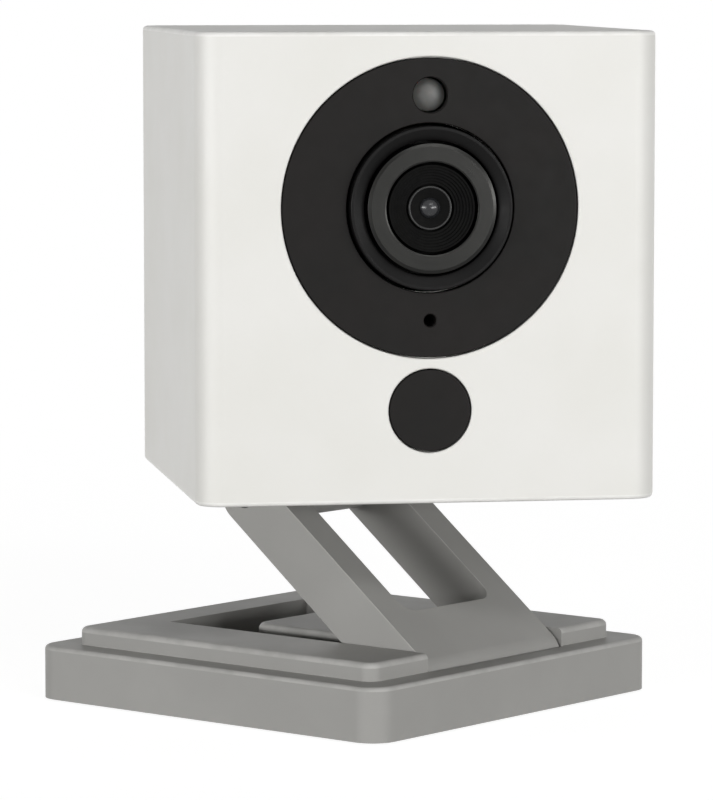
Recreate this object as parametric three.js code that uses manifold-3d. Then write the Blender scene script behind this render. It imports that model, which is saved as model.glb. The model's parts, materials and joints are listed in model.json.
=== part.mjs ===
// Compact indoor security camera on a folding stand.
// A cube-shaped head turns on a turntable, which is hinged to a flat arm, which is hinged to a square base.
// Millimetres, +Z up. The origin is the middle of the foot pad's underside, on the surface it stands on.
// +X runs from the base's middle to its hinge, and every piece of the head is drawn in the head's own frame:
// x to the right across the face, y from the face to the back, z up from the head's lower rim.

import * as THREE from 'three';
import { mergeVertices } from 'three/addons/utils/BufferGeometryUtils.js';
import Module from 'manifold-3d';

const wasm = await Module();
wasm.setup();

// ---------------------------------------------------------------- driving dimensions

// Fits
const SEAT_GAP = 0.3;             // between pieces that sit against each other
const SWING_GAP = 0.6;            // between a hinge knuckle and what it swings past
const PIN_PLAY = 0.3;             // radial play of a pin, screw or plunger in its bore

// Base
const BASE_WIDTH = 50;            // lower tier, square
const BASE_CORNER_R = 3;
const LOWER_TIER_HEIGHT = 6;
const UPPER_TIER_WIDTH = 43.3;
const UPPER_TIER_HEIGHT = 2;
const UPPER_TIER_CORNER_R = 1.6;
const LOWER_TIER_EDGE_R = 0.35;
const UPPER_TIER_EDGE_R = 0.6;
const PAD_THICKNESS = 0.5;
const PAD_PROUD = 0.2;            // the pad stands this far below the lower tier
const PAD_WIDTH = 43.4;
const PAD_CORNER_R = 2;
const PLATE_THICKNESS = 0.6;      // steel floor of the arm's recess
const MAGNET_HOUSING_WALL = 1;
const MAGNET_HOUSING_PROUD = 0.15; // its roof stands this far above the upper tier
const MAGNET_HOUSING_EDGE_R = 0.6;

// Arm
const ARM_RISE = 38.3;            // degrees above level, as the camera stands
const ARM_LENGTH = 30;            // from hinge axis to hinge axis
const ARM_THICKNESS = 6.5;
const ARM_WIDTH = 23.6;
const ARM_EDGE_R = 0.25;
const LEG_WIDTH = 4.05;           // on each side of the arm's slot
const LOWER_BAR = 6.75;           // from the lower axis to the slot
const SLOT_CORNER_R = 2;
const HINGE_INSET = 6.5;          // lower hinge axis, from the base's outer face
const PIN_R = 1.2;
const PIN_BITE = 3;               // how far the lower pin reaches into the base on each side

// Turntable
const TURNTABLE_R = 18;
const TURNTABLE_THICKNESS = 1.8;
const TURNTABLE_EDGE_R = 0.3;
const HUB_R = 5.6;
const WASHER_R = 8;
const WASHER_THICKNESS = 0.8;
const SWIVEL_SCREW_R = 1.3;
const SWIVEL_SCREW_HEAD_R = 2.8;
const SWIVEL_SCREW_HEAD_HEIGHT = 1.5;
const SWIVEL_SCREW_LENGTH = 3;

// Head housing
const HEAD_YAW = 49.04;           // degrees, the head's turn on its turntable as the camera stands
const HEAD_WIDTH = 50;
const HEAD_DEPTH = 50;
const HEAD_CORNER_R = 2.85;
const HEAD_EDGE_R = 0.5;
const HEAD_WALL = 2.2;
const COVER_LIP = 1;              // wall left round the rear cover
const COVER_THICKNESS = 1.8;
const NEST_DEPTH = 2.1;           // from the rim up to the turntable: the base's upper tier folds into it
const NEST_PLAY = 0.5;            // round the folded base
const FLOOR_WALL = 1.6;           // above the turntable

// Face
const FACE_DISC_R = 15.95;
const FACE_DISC_MARGIN = 2.8;     // from its edge to the top of the head
const FACE_DISC_THICKNESS = 1.1;
const FACE_DISC_INSET = 0.1;      // below the face of the housing
const DISC_PLAY = 0.15;
const WINDOW_R = 4.38;            // infrared window under the face disc
const WINDOW_GAP = 1.32;          // between the two
const SENSOR_RISE = 12;           // light sensor above the lens, microphone below it
const SENSOR_HOLE_R = 1.9;
const MIC_HOLE_R = 0.68;

// Lens
const SURROUND_R = 8.75;
const SURROUND_PROUD = 0.9;       // in front of the housing's face
const SURROUND_DEPTH = 5.4;
const SURROUND_DISH = 0.55;
const SURROUND_FLANGE = 0.8;
const BEZEL_R = 6.94;
const BEZEL_BORE_R = 4.95;
const BEZEL_THICKNESS = 1.7;
const BEZEL_PROUD = 1.1;
const BEZEL_EDGE_R = 0.3;
const BAFFLE_MOUTH_R = 2.6;
const BAFFLE_DEPTH = 1.5;
const BARREL_R = 6;
const BARREL_LENGTH = 14;
const BARREL_BORE_R = 3.2;
const FRONT_LENS_R = 2.35;
const FRONT_LENS_CROWN = 0.55;
const FRONT_LENS_RIM = 0.4;
const STOP_R = 0.95;
const STOP_THICKNESS = 0.6;
const REAR_LENS_LENGTH = 4;
const HOLDER_WIDTH = 27.4;
const HOLDER_HEIGHT = 16;
const HOLDER_WALL = 1;
const HOLDER_NECK_R = 7.6;

// Infrared filter carriage
const FILTER_WIDTH = 8.2;         // pitch of the two panes, and the carriage's travel
const FILTER_HEIGHT = 8.4;
const FILTER_THICKNESS = 1.2;
const FILTER_FRAME = 1;
const PANE_THICKNESS = 0.6;
const COIL_WIDTH = 5;             // electromagnet that moves the carriage
const COIL_HEIGHT = 11;
const COIL_DEPTH = 4.5;

// Boards and what they carry
const BOARD_THICKNESS = 1.2;
const SENSOR_BOARD_Y = -3.9;      // its front face
const SENSOR_BOARD_MARGIN = 1.8;  // from its edges to the housing's walls
const BOSS_R = 2.2;
const BOSS_INSET = 2.5;           // from the board's edges
const BOARD_SCREW_R = 0.8;
const BOARD_SCREW_HEAD_R = 1.7;
const BOARD_SCREW_HEAD_HEIGHT = 1.2;
const BOARD_SCREW_LENGTH = 6;
const MAIN_BOARD_FRONT = 0.5;
const PROCESSOR_WIDTH = 12;
const PROCESSOR_HEIGHT = 1.3;
const SPREADER_WIDTH = 14;
const SPREADER_HEIGHT = 6;
const SPREADER_THICKNESS = 1.5;
const SPREADER_FINS = 5;
const FIN_THICKNESS = 1;
const RADIO_WIDTH = 13;
const RADIO_DEPTH = 11;
const RADIO_HEIGHT = 2.2;
const PART_SPACING = 1;           // between neighbours on the main board
const ANTENNA_WIDTH = 28;
const ANTENNA_DEPTH = 8;
const ANTENNA_SETBACK = 9;        // from the inside of the face
const FILM_THICKNESS = 0.4;
const RIBBON_WIDTH = 10;
const RIBBON_BEND_R = 3;
const RIBBON_RISE = 10;           // up the sensor board's back
const RIBBON_LANDING = 2;         // along the main board
const LED_BOARD_THICKNESS = 1;
const LED_BOARD_WIDTH = 20;
const LED_R = 1.35;
const LED_SPACING = 3.6;
const LED_MARGIN = 0.75;          // from the lowest of them to their board's edge

// Ports and controls
const USB_WIDTH = 13.2;
const USB_HEIGHT = 5.8;
const USB_DEPTH = 14;
const USB_MARGIN = 2.1;           // from the housing's side, on the viewer's right from behind
const USB_SKIN = 0.4;
const MICRO_WIDTH = 7.8;
const MICRO_HEIGHT = 2.9;
const MICRO_DEPTH = 5.6;
const MICRO_MARGIN = 6.4;         // from the housing's other side
const PORT_INSET = 0.4;           // port mouths, in from the back of the head
const PORT_MARGIN = 0.35;         // cover cut-out round a port
const CARD_WIDTH = 11.4;
const CARD_SLOT = 1.1;
const CARD_SOCKET_WALL = 1.4;
const CARD_SOCKET_SKIN = 0.4;
const BUTTON_R = 2;
const BUTTON_STEM_R = 1.2;
const BUTTON_TRAVEL = 0.6;
const SWITCH_WIDTH = 6;
const SWITCH_HEIGHT = 3.5;
const SWITCH_MARGIN = 0.8;        // from the rail that the main board lies on
const SWITCH_SETBACK = 1;         // from the micro USB socket
const STATUS_R = 0.9;
const STATUS_MARGIN = 2.9;        // from the housing's side
const LEDGE_WIDTH = 1.6;          // rails that the main board lies on

// Sound
const SPEAKER_R = 11;
const SPEAKER_DEPTH = 5.4;
const SPEAKER_MARGIN = 0.8;       // from the housing's ceiling
const SPEAKER_RISE = 2.1;         // from the main board up to it
const SPEAKER_RIM = 1.2;          // thickness of its flange
const CONE_R = 9;
const CONE_DEPTH = 2.4;
const MAGNET_R = 5.5;
const GASKET_THICKNESS = 0.7;
const GRILLE_PITCH = 2.6;
const GRILLE_HOLE_R = 0.75;
const GRILLE_RINGS = 2;

// How finely round forms are divided
const FINE = 52;
const MEDIUM = 28;
const COARSE = 14;
const SMALL = 8;
const CORNER_STEPS = 4;
const EDGE_STEPS = 2;

// ---------------------------------------------------------------- sizes that follow

const OVER = 1;                   // how far a cutter runs past what it cuts
const axisRise = THREE.MathUtils.degToRad(ARM_RISE);
const plateBottom = PAD_THICKNESS + SEAT_GAP;
const plateTop = plateBottom + PLATE_THICKNESS;
const lowerTierTop = PAD_PROUD + LOWER_TIER_HEIGHT;
const upperTierTop = lowerTierTop + UPPER_TIER_HEIGHT;
const lowerAxis = new THREE.Vector3(
  BASE_WIDTH / 2 - HINGE_INSET, 0, plateTop + SEAT_GAP + ARM_THICKNESS / 2);
const upperAxis = new THREE.Vector3(-ARM_LENGTH, 0, 0)
  .applyAxisAngle(new THREE.Vector3(0, 1, 0), axisRise).add(lowerAxis);
const knuckleOffset = ARM_LENGTH - lowerAxis.x;         // so that the folded head is over the base's middle
const turntableUnderAxis = ARM_THICKNESS / 2 + SWING_GAP; // from the upper axis up to the turntable
const rimHeight = upperAxis.z + turntableUnderAxis - NEST_DEPTH;
const headX = upperAxis.x + knuckleOffset;

const faceY = -HEAD_DEPTH / 2;
const backY = HEAD_DEPTH / 2;
const coverY = backY - COVER_THICKNESS;                 // front of the rear cover
const ledgeY = coverY - SEAT_GAP;
const turntableTop = NEST_DEPTH + TURNTABLE_THICKNESS;
const floorUnder = turntableTop + SEAT_GAP;
const floorTop = floorUnder + FLOOR_WALL;
const windowHeight = floorTop + SEAT_GAP + LED_MARGIN + LED_R + LED_SPACING / 2;
const lensHeight = windowHeight + WINDOW_R + WINDOW_GAP + FACE_DISC_R;
const headHeight = lensHeight + FACE_DISC_R + FACE_DISC_MARGIN;
const ceiling = headHeight - HEAD_WALL;
const speakerHeight = ceiling - SPEAKER_MARGIN - SPEAKER_R;
const insideFaceY = faceY + HEAD_WALL;
const nestHalf = UPPER_TIER_WIDTH / 2 + NEST_PLAY;
const nestTop = NEST_DEPTH + SEAT_GAP;
const discFrontY = faceY + FACE_DISC_INSET;
const discBackY = discFrontY + FACE_DISC_THICKNESS;
const discSeatY = discBackY + SEAT_GAP;
const sensorHeight = lensHeight + SENSOR_RISE;
const micHeight = lensHeight - SENSOR_RISE;
const boardBackY = SENSOR_BOARD_Y + BOARD_THICKNESS;
const onSensorBoardY = SENSOR_BOARD_Y - SEAT_GAP;       // back of what stands on the sensor board
const washerBottom = floorTop + 2 * SEAT_GAP;
const screwHeadBottom = washerBottom + WASHER_THICKNESS + SEAT_GAP;
const boardBottom = screwHeadBottom + SWIVEL_SCREW_HEAD_HEIGHT + 2 * SEAT_GAP;
const boardTop = ceiling - SENSOR_BOARD_MARGIN;
const boardMiddle = (boardBottom + boardTop) / 2;
const boardHalfWidth = HEAD_WIDTH / 2 - HEAD_WALL - SENSOR_BOARD_MARGIN;
const boardHalfHeight = boardTop - boardMiddle;
const mainBoardTop = speakerHeight - SPEAKER_R - SPEAKER_RISE;
const mainBoardBottom = mainBoardTop - BOARD_THICKNESS;
const underMainBoard = mainBoardBottom - SEAT_GAP;
const onMainBoard = mainBoardTop + SEAT_GAP;
const insideHalf = HEAD_WIDTH / 2 - HEAD_WALL;
const usbX = insideHalf - USB_MARGIN - USB_WIDTH / 2;
const microX = insideHalf - MICRO_MARGIN - MICRO_WIDTH / 2;
const statusX = insideHalf - STATUS_MARGIN - STATUS_R;
const buttonX = insideHalf - LEDGE_WIDTH - SWITCH_MARGIN - SWITCH_WIDTH / 2;
const portY = backY - PORT_INSET;
const buttonY = portY - MICRO_DEPTH - SWITCH_SETBACK - SWITCH_WIDTH / 2;
const gasketBack = coverY - SEAT_GAP;
const gasketFront = gasketBack - GASKET_THICKNESS;
const speakerRim = gasketFront - SEAT_GAP;
const speakerFront = speakerRim - SPEAKER_DEPTH;

// ---------------------------------------------------------------- solids

/** Turns a closed three.js geometry into a solid with its faces pointing out. */
function solid(geometry) {
  const bare = geometry.index ? geometry.toNonIndexed() : geometry.clone();
  bare.deleteAttribute('normal');
  bare.deleteAttribute('uv');
  const merged = mergeVertices(bare, 1e-4);
  const corners = merged.attributes.position;
  const faces = [];
  const [a, b, c] = [new THREE.Vector3(), new THREE.Vector3(), new THREE.Vector3()];
  let volume = 0;
  for (let i = 0; i < merged.index.count; i += 3) {
    const [p, q, r] = [0, 1, 2].map((k) => merged.index.getX(i + k));
    if (p === q || q === r || r === p) continue;
    faces.push(p, q, r);
    a.fromBufferAttribute(corners, p);
    b.fromBufferAttribute(corners, q);
    c.fromBufferAttribute(corners, r);
    volume += a.dot(b.cross(c));
  }
  if (volume < 0) faces.reverse();
  const mesh = new wasm.Mesh({
    numProp: 3,
    vertProperties: new Float32Array(corners.array),
    triVerts: new Uint32Array(faces),
  });
  return new wasm.Manifold(mesh);
}

/** The three.js geometry of a solid. */
function geometryOf(body) {
  const mesh = body.getMesh();
  const geometry = new THREE.BufferGeometry();
  geometry.setAttribute('position', new THREE.BufferAttribute(new Float32Array(mesh.vertProperties), 3));
  geometry.setIndex(new THREE.BufferAttribute(new Uint32Array(mesh.triVerts), 1));
  geometry.computeVertexNormals();
  return geometry;
}

const join = (first, ...others) => others.reduce((sum, body) => sum.add(body), first);
const cut = (first, ...others) => others.reduce((rest, body) => rest.subtract(body), first);

/** A block between two corners. */
function block(x0, x1, y0, y1, z0, z1) {
  const box = new THREE.BoxGeometry(x1 - x0, y1 - y0, z1 - z0);
  return solid(box.translate((x0 + x1) / 2, (y0 + y1) / 2, (z0 + z1) / 2));
}

/** A block of a width along x and a depth along y round (x, y), standing from z0 to z1. */
function blockAround(x, y, width, depth, z0, z1) {
  return block(x - width / 2, x + width / 2, y - depth / 2, y + depth / 2, z0, z1);
}

/** A rectangle round (x, y) with rounded corners. */
function roundedRectangle(width, height, radius, x = 0, y = 0) {
  const [w, h] = [width / 2, height / 2];
  const shape = new THREE.Shape();
  shape.absarc(x + w - radius, y - h + radius, radius, -Math.PI / 2, 0);
  shape.absarc(x + w - radius, y + h - radius, radius, 0, Math.PI / 2);
  shape.absarc(x - w + radius, y + h - radius, radius, Math.PI / 2, Math.PI);
  shape.absarc(x - w + radius, y - h + radius, radius, Math.PI, Math.PI * 1.5);
  shape.closePath();
  return shape;
}

function circle(radius, x = 0, y = 0) {
  return new THREE.Shape().absarc(x, y, radius, 0, Math.PI * 2);
}

/** Extrudes a shape by a depth along z, with its two outlines rounded by edge inside the shape. */
function extrusion(shape, depth, edge = 0, steps = CORNER_STEPS) {
  return new THREE.ExtrudeGeometry(shape, {
    depth: depth - 2 * edge,
    curveSegments: steps,
    bevelEnabled: edge > 0,
    bevelThickness: edge,
    bevelSize: edge,
    bevelOffset: -edge,
    bevelSegments: EDGE_STEPS,
  }).translate(0, 0, edge);
}

/** A shape drawn in x and y, standing from z0 to z1. */
function upright(shape, z0, z1, edge = 0, steps = CORNER_STEPS) {
  return solid(extrusion(shape, z1 - z0, edge, steps).translate(0, 0, z0));
}

/** A shape drawn in x and z, running from y0 back to y1. */
function backward(shape, y0, y1, edge = 0, steps = CORNER_STEPS) {
  return solid(extrusion(shape, y1 - y0, edge, steps).rotateX(Math.PI / 2).translate(0, y1, 0));
}

/** A round bar along y, with its middle at (x, z). */
function barAlongY(radius, x, z, y0, y1, steps = COARSE) {
  return solid(new THREE.CylinderGeometry(radius, radius, y1 - y0, steps).translate(x, (y0 + y1) / 2, z));
}

/** A round bar along z, with its middle at (x, y). */
function barAlongZ(radius, x, y, z0, z1, steps = COARSE) {
  const bar = new THREE.CylinderGeometry(radius, radius, z1 - z0, steps).rotateX(Math.PI / 2);
  return solid(bar.translate(x, y, (z0 + z1) / 2));
}

/** Revolves a profile of [radius, y] points about the y axis. */
function turnedAlongY(profile, steps = FINE) {
  const points = profile.map(([r, y]) => new THREE.Vector2(r, y));
  return solid(new THREE.LatheGeometry(points, steps));
}

/** Revolves a profile of [radius, z] points about the z axis. */
function turnedAlongZ(profile, steps = MEDIUM) {
  const points = profile.map(([r, z]) => new THREE.Vector2(r, z));
  return solid(new THREE.LatheGeometry(points, steps).rotateX(Math.PI / 2));
}

/** The points of a quarter-round from one angle to another, in degrees, for a profile. */
function quarter(r, y, radius, from, to, steps = EDGE_STEPS) {
  return Array.from({ length: steps + 1 }, (_, i) => {
    const angle = THREE.MathUtils.degToRad(from + ((to - from) * i) / steps);
    return [r + radius * Math.cos(angle), y + radius * Math.sin(angle)];
  });
}

// ---------------------------------------------------------------- finishes

const finish = (color, roughness, metalness = 0) => () =>
  new THREE.MeshStandardMaterial({ color, roughness, metalness });

const whiteAbs = finish(0xebeae6, 0.45);
const greyAbs = finish(0x8f8e8b, 0.5);
const blackGloss = finish(0x2e2d2b, 0.25);
const blackSatin = finish(0x201f1f, 0.45);
const anodised = finish(0x4a4a49, 0.35, 0.6);
const lensGlass = finish(0x101214, 0.05);
const frosted = finish(0x6a6a68, 0.5);
const steel = finish(0xb9bcc0, 0.3, 1);
const nickel = finish(0xc9cbcc, 0.25, 1);
const boardGreen = finish(0x1f4a33, 0.5);
const chipBlack = finish(0x1b1c1e, 0.5);
const aluminium = finish(0xa9adb0, 0.35, 1);
const rubberBlack = finish(0x232323, 0.9);
const amberFilm = finish(0xb5752f, 0.4);

/** Names a solid, gives it its own material and hangs it in its group. */
function piece(group, name, body, material) {
  const mesh = new THREE.Mesh(geometryOf(body), material());
  mesh.name = name;
  group.add(mesh);
  return mesh;
}

// ---------------------------------------------------------------- base

/** The two-tier moulding, with the recess that the arm folds into. The lower pin goes in from below. */
function baseShell() {
  const lower = upright(
    roundedRectangle(BASE_WIDTH, BASE_WIDTH, BASE_CORNER_R), PAD_PROUD, lowerTierTop, LOWER_TIER_EDGE_R);
  const upper = upright(
    roundedRectangle(UPPER_TIER_WIDTH, UPPER_TIER_WIDTH, UPPER_TIER_CORNER_R),
    lowerTierTop - OVER, upperTierTop, UPPER_TIER_EDGE_R);
  const pocketTop = plateTop + SEAT_GAP;
  const pocketWidth = PAD_WIDTH + 2 * SEAT_GAP;
  const pocketOutline = roundedRectangle(pocketWidth, pocketWidth, PAD_CORNER_R);
  const pocket = upright(pocketOutline, PAD_PROUD - OVER, pocketTop);
  const recessEnd = recessFarX();
  const recessFront = lowerAxis.x + ARM_THICKNESS / 2 + SEAT_GAP;
  const recess = block(
    recessEnd, recessFront, -recessHalf(), recessHalf(), PAD_PROUD, upperTierTop + OVER);
  const pinHalf = recessHalf() + PIN_BITE + SEAT_GAP;
  const boreR = PIN_R + PIN_PLAY;
  const bore = barAlongY(boreR, lowerAxis.x, lowerAxis.z, -pinHalf, pinHalf);
  const wayIn = block(lowerAxis.x - boreR, lowerAxis.x + boreR, -pinHalf, pinHalf, PAD_PROUD, lowerAxis.z);
  return cut(join(lower, upper), pocket, recess, bore, wayIn);
}

const recessHalf = () => ARM_WIDTH / 2 + SEAT_GAP;
const recessFarX = () => lowerAxis.x - ARM_LENGTH - ARM_THICKNESS / 2 - 2 * SWING_GAP;

/** The magnet's housing: it stands in the arm's slot, clear of the knuckle, when the stand is folded. */
function magnetHousingBox() {
  const sweep = Math.hypot(LOWER_BAR, ARM_THICKNESS / 2);
  return {
    x0: lowerAxis.x - ARM_LENGTH + ARM_THICKNESS / 2 + SWING_GAP,
    x1: lowerAxis.x - sweep - SEAT_GAP,
    half: ARM_WIDTH / 2 - LEG_WIDTH - SEAT_GAP,
    z0: plateTop + SEAT_GAP,
    z1: upperTierTop + MAGNET_HOUSING_PROUD,
  };
}

function magnetHousing() {
  const { x0, x1, half, z0, z1 } = magnetHousingBox();
  const outline = roundedRectangle(x1 - x0, 2 * half, SLOT_CORNER_R, (x0 + x1) / 2, 0);
  const wall = MAGNET_HOUSING_WALL;
  const hollow = block(x0 + wall, x1 - wall, -half + wall, half - wall, z0 - OVER, z1 - wall);
  return cut(upright(outline, z0, z1, MAGNET_HOUSING_EDGE_R), hollow);
}

function baseMagnet() {
  const { x0, x1, half, z0, z1 } = magnetHousingBox();
  const inset = MAGNET_HOUSING_WALL + SEAT_GAP;
  return block(x0 + inset, x1 - inset, -half + inset, half - inset, z0, z1 - inset);
}

function makeBase(group) {
  piece(group, 'base_shell', baseShell(), greyAbs);
  const sheet = roundedRectangle(PAD_WIDTH, PAD_WIDTH, PAD_CORNER_R);
  piece(group, 'foot_pad', upright(sheet, 0, PAD_THICKNESS), rubberBlack);
  piece(group, 'base_plate', upright(sheet, plateBottom, plateTop), steel);
  piece(group, 'magnet_housing', magnetHousing(), greyAbs);
  piece(group, 'base_magnet', baseMagnet(), nickel);
  const pinHalf = recessHalf() + PIN_BITE;
  piece(group, 'lower_pin', barAlongY(PIN_R, lowerAxis.x, lowerAxis.z, -pinHalf, pinHalf), steel);
  const keeperTop = lowerAxis.z - PIN_R - SEAT_GAP;
  [['left', -1], ['right', 1]].forEach(([name, side]) => {
    const ends = [side * (recessHalf() + SEAT_GAP), side * pinHalf];
    piece(group, `pin_keeper_${name}`, block(
      lowerAxis.x - PIN_R, lowerAxis.x + PIN_R, Math.min(...ends), Math.max(...ends),
      plateTop + SEAT_GAP, keeperTop), greyAbs);
  });
}

// ---------------------------------------------------------------- arm

/** Drawn lying flat: the lower axis is at the origin and the upper one at x = -ARM_LENGTH. */
function arm() {
  const r = ARM_THICKNESS / 2;
  const side = new THREE.Shape();
  side.absarc(0, 0, r, -Math.PI / 2, Math.PI / 2);
  side.absarc(-ARM_LENGTH, 0, r, Math.PI / 2, Math.PI * 1.5);
  side.closePath();
  const plate = backward(side, -ARM_WIDTH / 2, ARM_WIDTH / 2, ARM_EDGE_R, 12);
  const near = -LOWER_BAR;
  const far = -ARM_LENGTH - r - SLOT_CORNER_R - OVER;
  const slot = upright(
    roundedRectangle(near - far, ARM_WIDTH - 2 * LEG_WIDTH, SLOT_CORNER_R, (near + far) / 2, 0),
    -r - OVER, r + OVER);
  const half = ARM_WIDTH / 2 + OVER;
  const bores = [0, -ARM_LENGTH].map((x) => barAlongY(PIN_R + PIN_PLAY, x, 0, -half, half));
  return cut(plate, slot, ...bores);
}

function makeArm(group) {
  piece(group, 'arm', arm(), greyAbs);
  const half = ARM_WIDTH / 2 - SEAT_GAP;
  piece(group, 'upper_pin', barAlongY(PIN_R, -ARM_LENGTH, 0, -half, half), steel);
}

// ---------------------------------------------------------------- turntable

/** The disc under the head, with its hub above and the hinge knuckle below. */
function turntable() {
  const disc = upright(circle(TURNTABLE_R), NEST_DEPTH, turntableTop, TURNTABLE_EDGE_R, FINE / 2);
  const hubTop = floorTop + SEAT_GAP;
  const hub = barAlongZ(HUB_R, 0, 0, turntableTop - OVER, hubTop, MEDIUM);
  const axisZ = NEST_DEPTH - turntableUnderAxis;
  const r = ARM_THICKNESS / 2;
  const half = ARM_WIDTH / 2 - LEG_WIDTH - SEAT_GAP;
  const knuckle = new THREE.Shape();
  knuckle.moveTo(-knuckleOffset + r, NEST_DEPTH + TURNTABLE_THICKNESS / 2);
  knuckle.lineTo(-knuckleOffset - r, NEST_DEPTH + TURNTABLE_THICKNESS / 2);
  knuckle.absarc(-knuckleOffset, axisZ, r, Math.PI, Math.PI * 2);
  knuckle.closePath();
  const lug = backward(knuckle, -half, half, 0, 12);
  const bore = barAlongY(PIN_R + PIN_PLAY, -knuckleOffset, axisZ, -half - OVER, half + OVER);
  const screwHole = barAlongZ(
    SWIVEL_SCREW_R + SEAT_GAP, 0, 0, hubTop - SWIVEL_SCREW_LENGTH - SEAT_GAP, hubTop + OVER);
  return cut(join(disc, hub, lug), bore, screwHole);
}

function makeTurntable(group) {
  piece(group, 'turntable', turntable(), greyAbs);
  const washerTop = washerBottom + WASHER_THICKNESS;
  const washer = cut(
    barAlongZ(WASHER_R, 0, 0, washerBottom, washerTop, MEDIUM),
    barAlongZ(SWIVEL_SCREW_R + SEAT_GAP, 0, 0, washerBottom - OVER, washerTop + OVER));
  piece(group, 'swivel_washer', washer, steel);
  const headBottom = screwHeadBottom;
  const crossDepth = SWIVEL_SCREW_HEAD_HEIGHT / 2;
  const head = turnedAlongZ([
    [0, headBottom], [SWIVEL_SCREW_HEAD_R, headBottom],
    [SWIVEL_SCREW_HEAD_R, headBottom + crossDepth],
    [SWIVEL_SCREW_HEAD_R - crossDepth, headBottom + SWIVEL_SCREW_HEAD_HEIGHT],
    [0, headBottom + SWIVEL_SCREW_HEAD_HEIGHT],
  ], COARSE);
  const shank = barAlongZ(
    SWIVEL_SCREW_R, 0, 0, floorTop + SEAT_GAP - SWIVEL_SCREW_LENGTH, headBottom + crossDepth);
  piece(group, 'swivel_screw', cut(join(head, shank), ...crossRecess(headBottom + crossDepth)), steel);
}

/** The two slots of a cross-head screw, cut down to z. */
function crossRecess(z) {
  const reach = SWIVEL_SCREW_HEAD_R * 0.6;
  const slot = reach / 5;
  const top = z + SWIVEL_SCREW_HEAD_HEIGHT;
  return [block(-reach, reach, -slot, slot, z, top), block(-slot, slot, -reach, reach, z, top)];
}

// ---------------------------------------------------------------- head housing

/** Where the sensor board's four bosses and screws stand, as [x, z]. */
const bossPlaces = [-1, 1].flatMap((side) => [-1, 1].map((end) => [
  side * (boardHalfWidth - BOSS_INSET), boardMiddle + end * (boardHalfHeight - BOSS_INSET)]));

/** The white one-piece housing, open at the back, with a nest under it for the folded base. */
function housingShell() {
  const outside = upright(
    roundedRectangle(HEAD_WIDTH, HEAD_DEPTH, HEAD_CORNER_R), 0, headHeight, HEAD_EDGE_R);
  const innerR = Math.max(HEAD_CORNER_R - HEAD_WALL, HEAD_EDGE_R);
  const insideDepth = backY + OVER - insideFaceY;
  const insideY = insideFaceY + insideDepth / 2;
  const insideOutline = roundedRectangle(2 * insideHalf, insideDepth, innerR, 0, insideY);
  const inside = upright(insideOutline, floorTop, ceiling);
  const coverSeat = backward(coverOutline(0), ledgeY, backY + OVER);
  const nest = block(-nestHalf, nestHalf, -nestHalf, nestHalf, -OVER, nestTop);
  const well = barAlongZ(TURNTABLE_R + SEAT_GAP, 0, 0, -OVER, floorUnder, FINE);
  const hubHole = barAlongZ(HUB_R + SEAT_GAP, 0, 0, floorUnder - OVER, floorTop + OVER, MEDIUM);
  const walls = cut(outside, inside, coverSeat, nest, well, hubHole);
  const bossRoot = insideFaceY - HEAD_WALL / 4;
  const bosses = bossPlaces.map(([x, z]) => barAlongY(BOSS_R, x, z, bossRoot, onSensorBoardY));
  const pilots = bossPlaces.map(([x, z]) => barAlongY(
    BOARD_SCREW_R + SEAT_GAP, x, z, onSensorBoardY - BOARD_SCREW_LENGTH - SEAT_GAP, onSensorBoardY + OVER));
  const ledges = [-1, 1].map((side) => {
    const [inner, outer] = [side * (insideHalf - LEDGE_WIDTH), side * (insideHalf + HEAD_WALL / 2)];
    return block(
      Math.min(inner, outer), Math.max(inner, outer), MAIN_BOARD_FRONT, ledgeY - HEAD_WALL,
      underMainBoard - HEAD_WALL / 2, underMainBoard);
  });
  return cut(join(walls, ...bosses, ...ledges), ...faceCuts(), ...floorCuts(), ...pilots);
}

/** The rear opening's outline, or the rear cover's own when it is drawn in by play. */
function coverOutline(play) {
  const width = HEAD_WIDTH - 2 * (COVER_LIP + play);
  const height = headHeight - 2 * (COVER_LIP + play);
  return roundedRectangle(width, height, HEAD_CORNER_R - COVER_LIP - play, 0, headHeight / 2);
}

/** Seats and holes for the face disc, the infrared window and what looks out through them. */
function faceCuts() {
  const frontY = faceY - OVER;
  const throughY = insideFaceY + OVER;
  return [
    barAlongY(FACE_DISC_R + DISC_PLAY, 0, lensHeight, frontY, discSeatY, FINE),
    barAlongY(SURROUND_R + SEAT_GAP, 0, lensHeight, frontY, throughY, FINE),
    barAlongY(WINDOW_R + DISC_PLAY, 0, windowHeight, frontY, discSeatY, MEDIUM),
    barAlongY(WINDOW_R - HEAD_EDGE_R, 0, windowHeight, frontY, throughY, MEDIUM),
    barAlongY(SENSOR_HOLE_R + SEAT_GAP, 0, sensorHeight, frontY, throughY),
    barAlongY(SENSOR_HOLE_R, 0, micHeight, frontY, throughY),
  ];
}

/** The card slot and the setup button's hole, through the floor beside the turntable. */
function floorCuts() {
  const slotHalf = CARD_WIDTH / 2 + SEAT_GAP;
  const slotDeep = CARD_SLOT / 2 + SEAT_GAP;
  return [
    block(-slotHalf, slotHalf, cardY - slotDeep, cardY + slotDeep, nestTop - OVER, floorTop + OVER),
    barAlongZ(BUTTON_R + PIN_PLAY, buttonX, buttonY, nestTop - OVER, floorTop + OVER),
  ];
}

const cardY = (TURNTABLE_R + SEAT_GAP + nestHalf) / 2;   // midway between the turntable and the nest's wall

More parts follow.
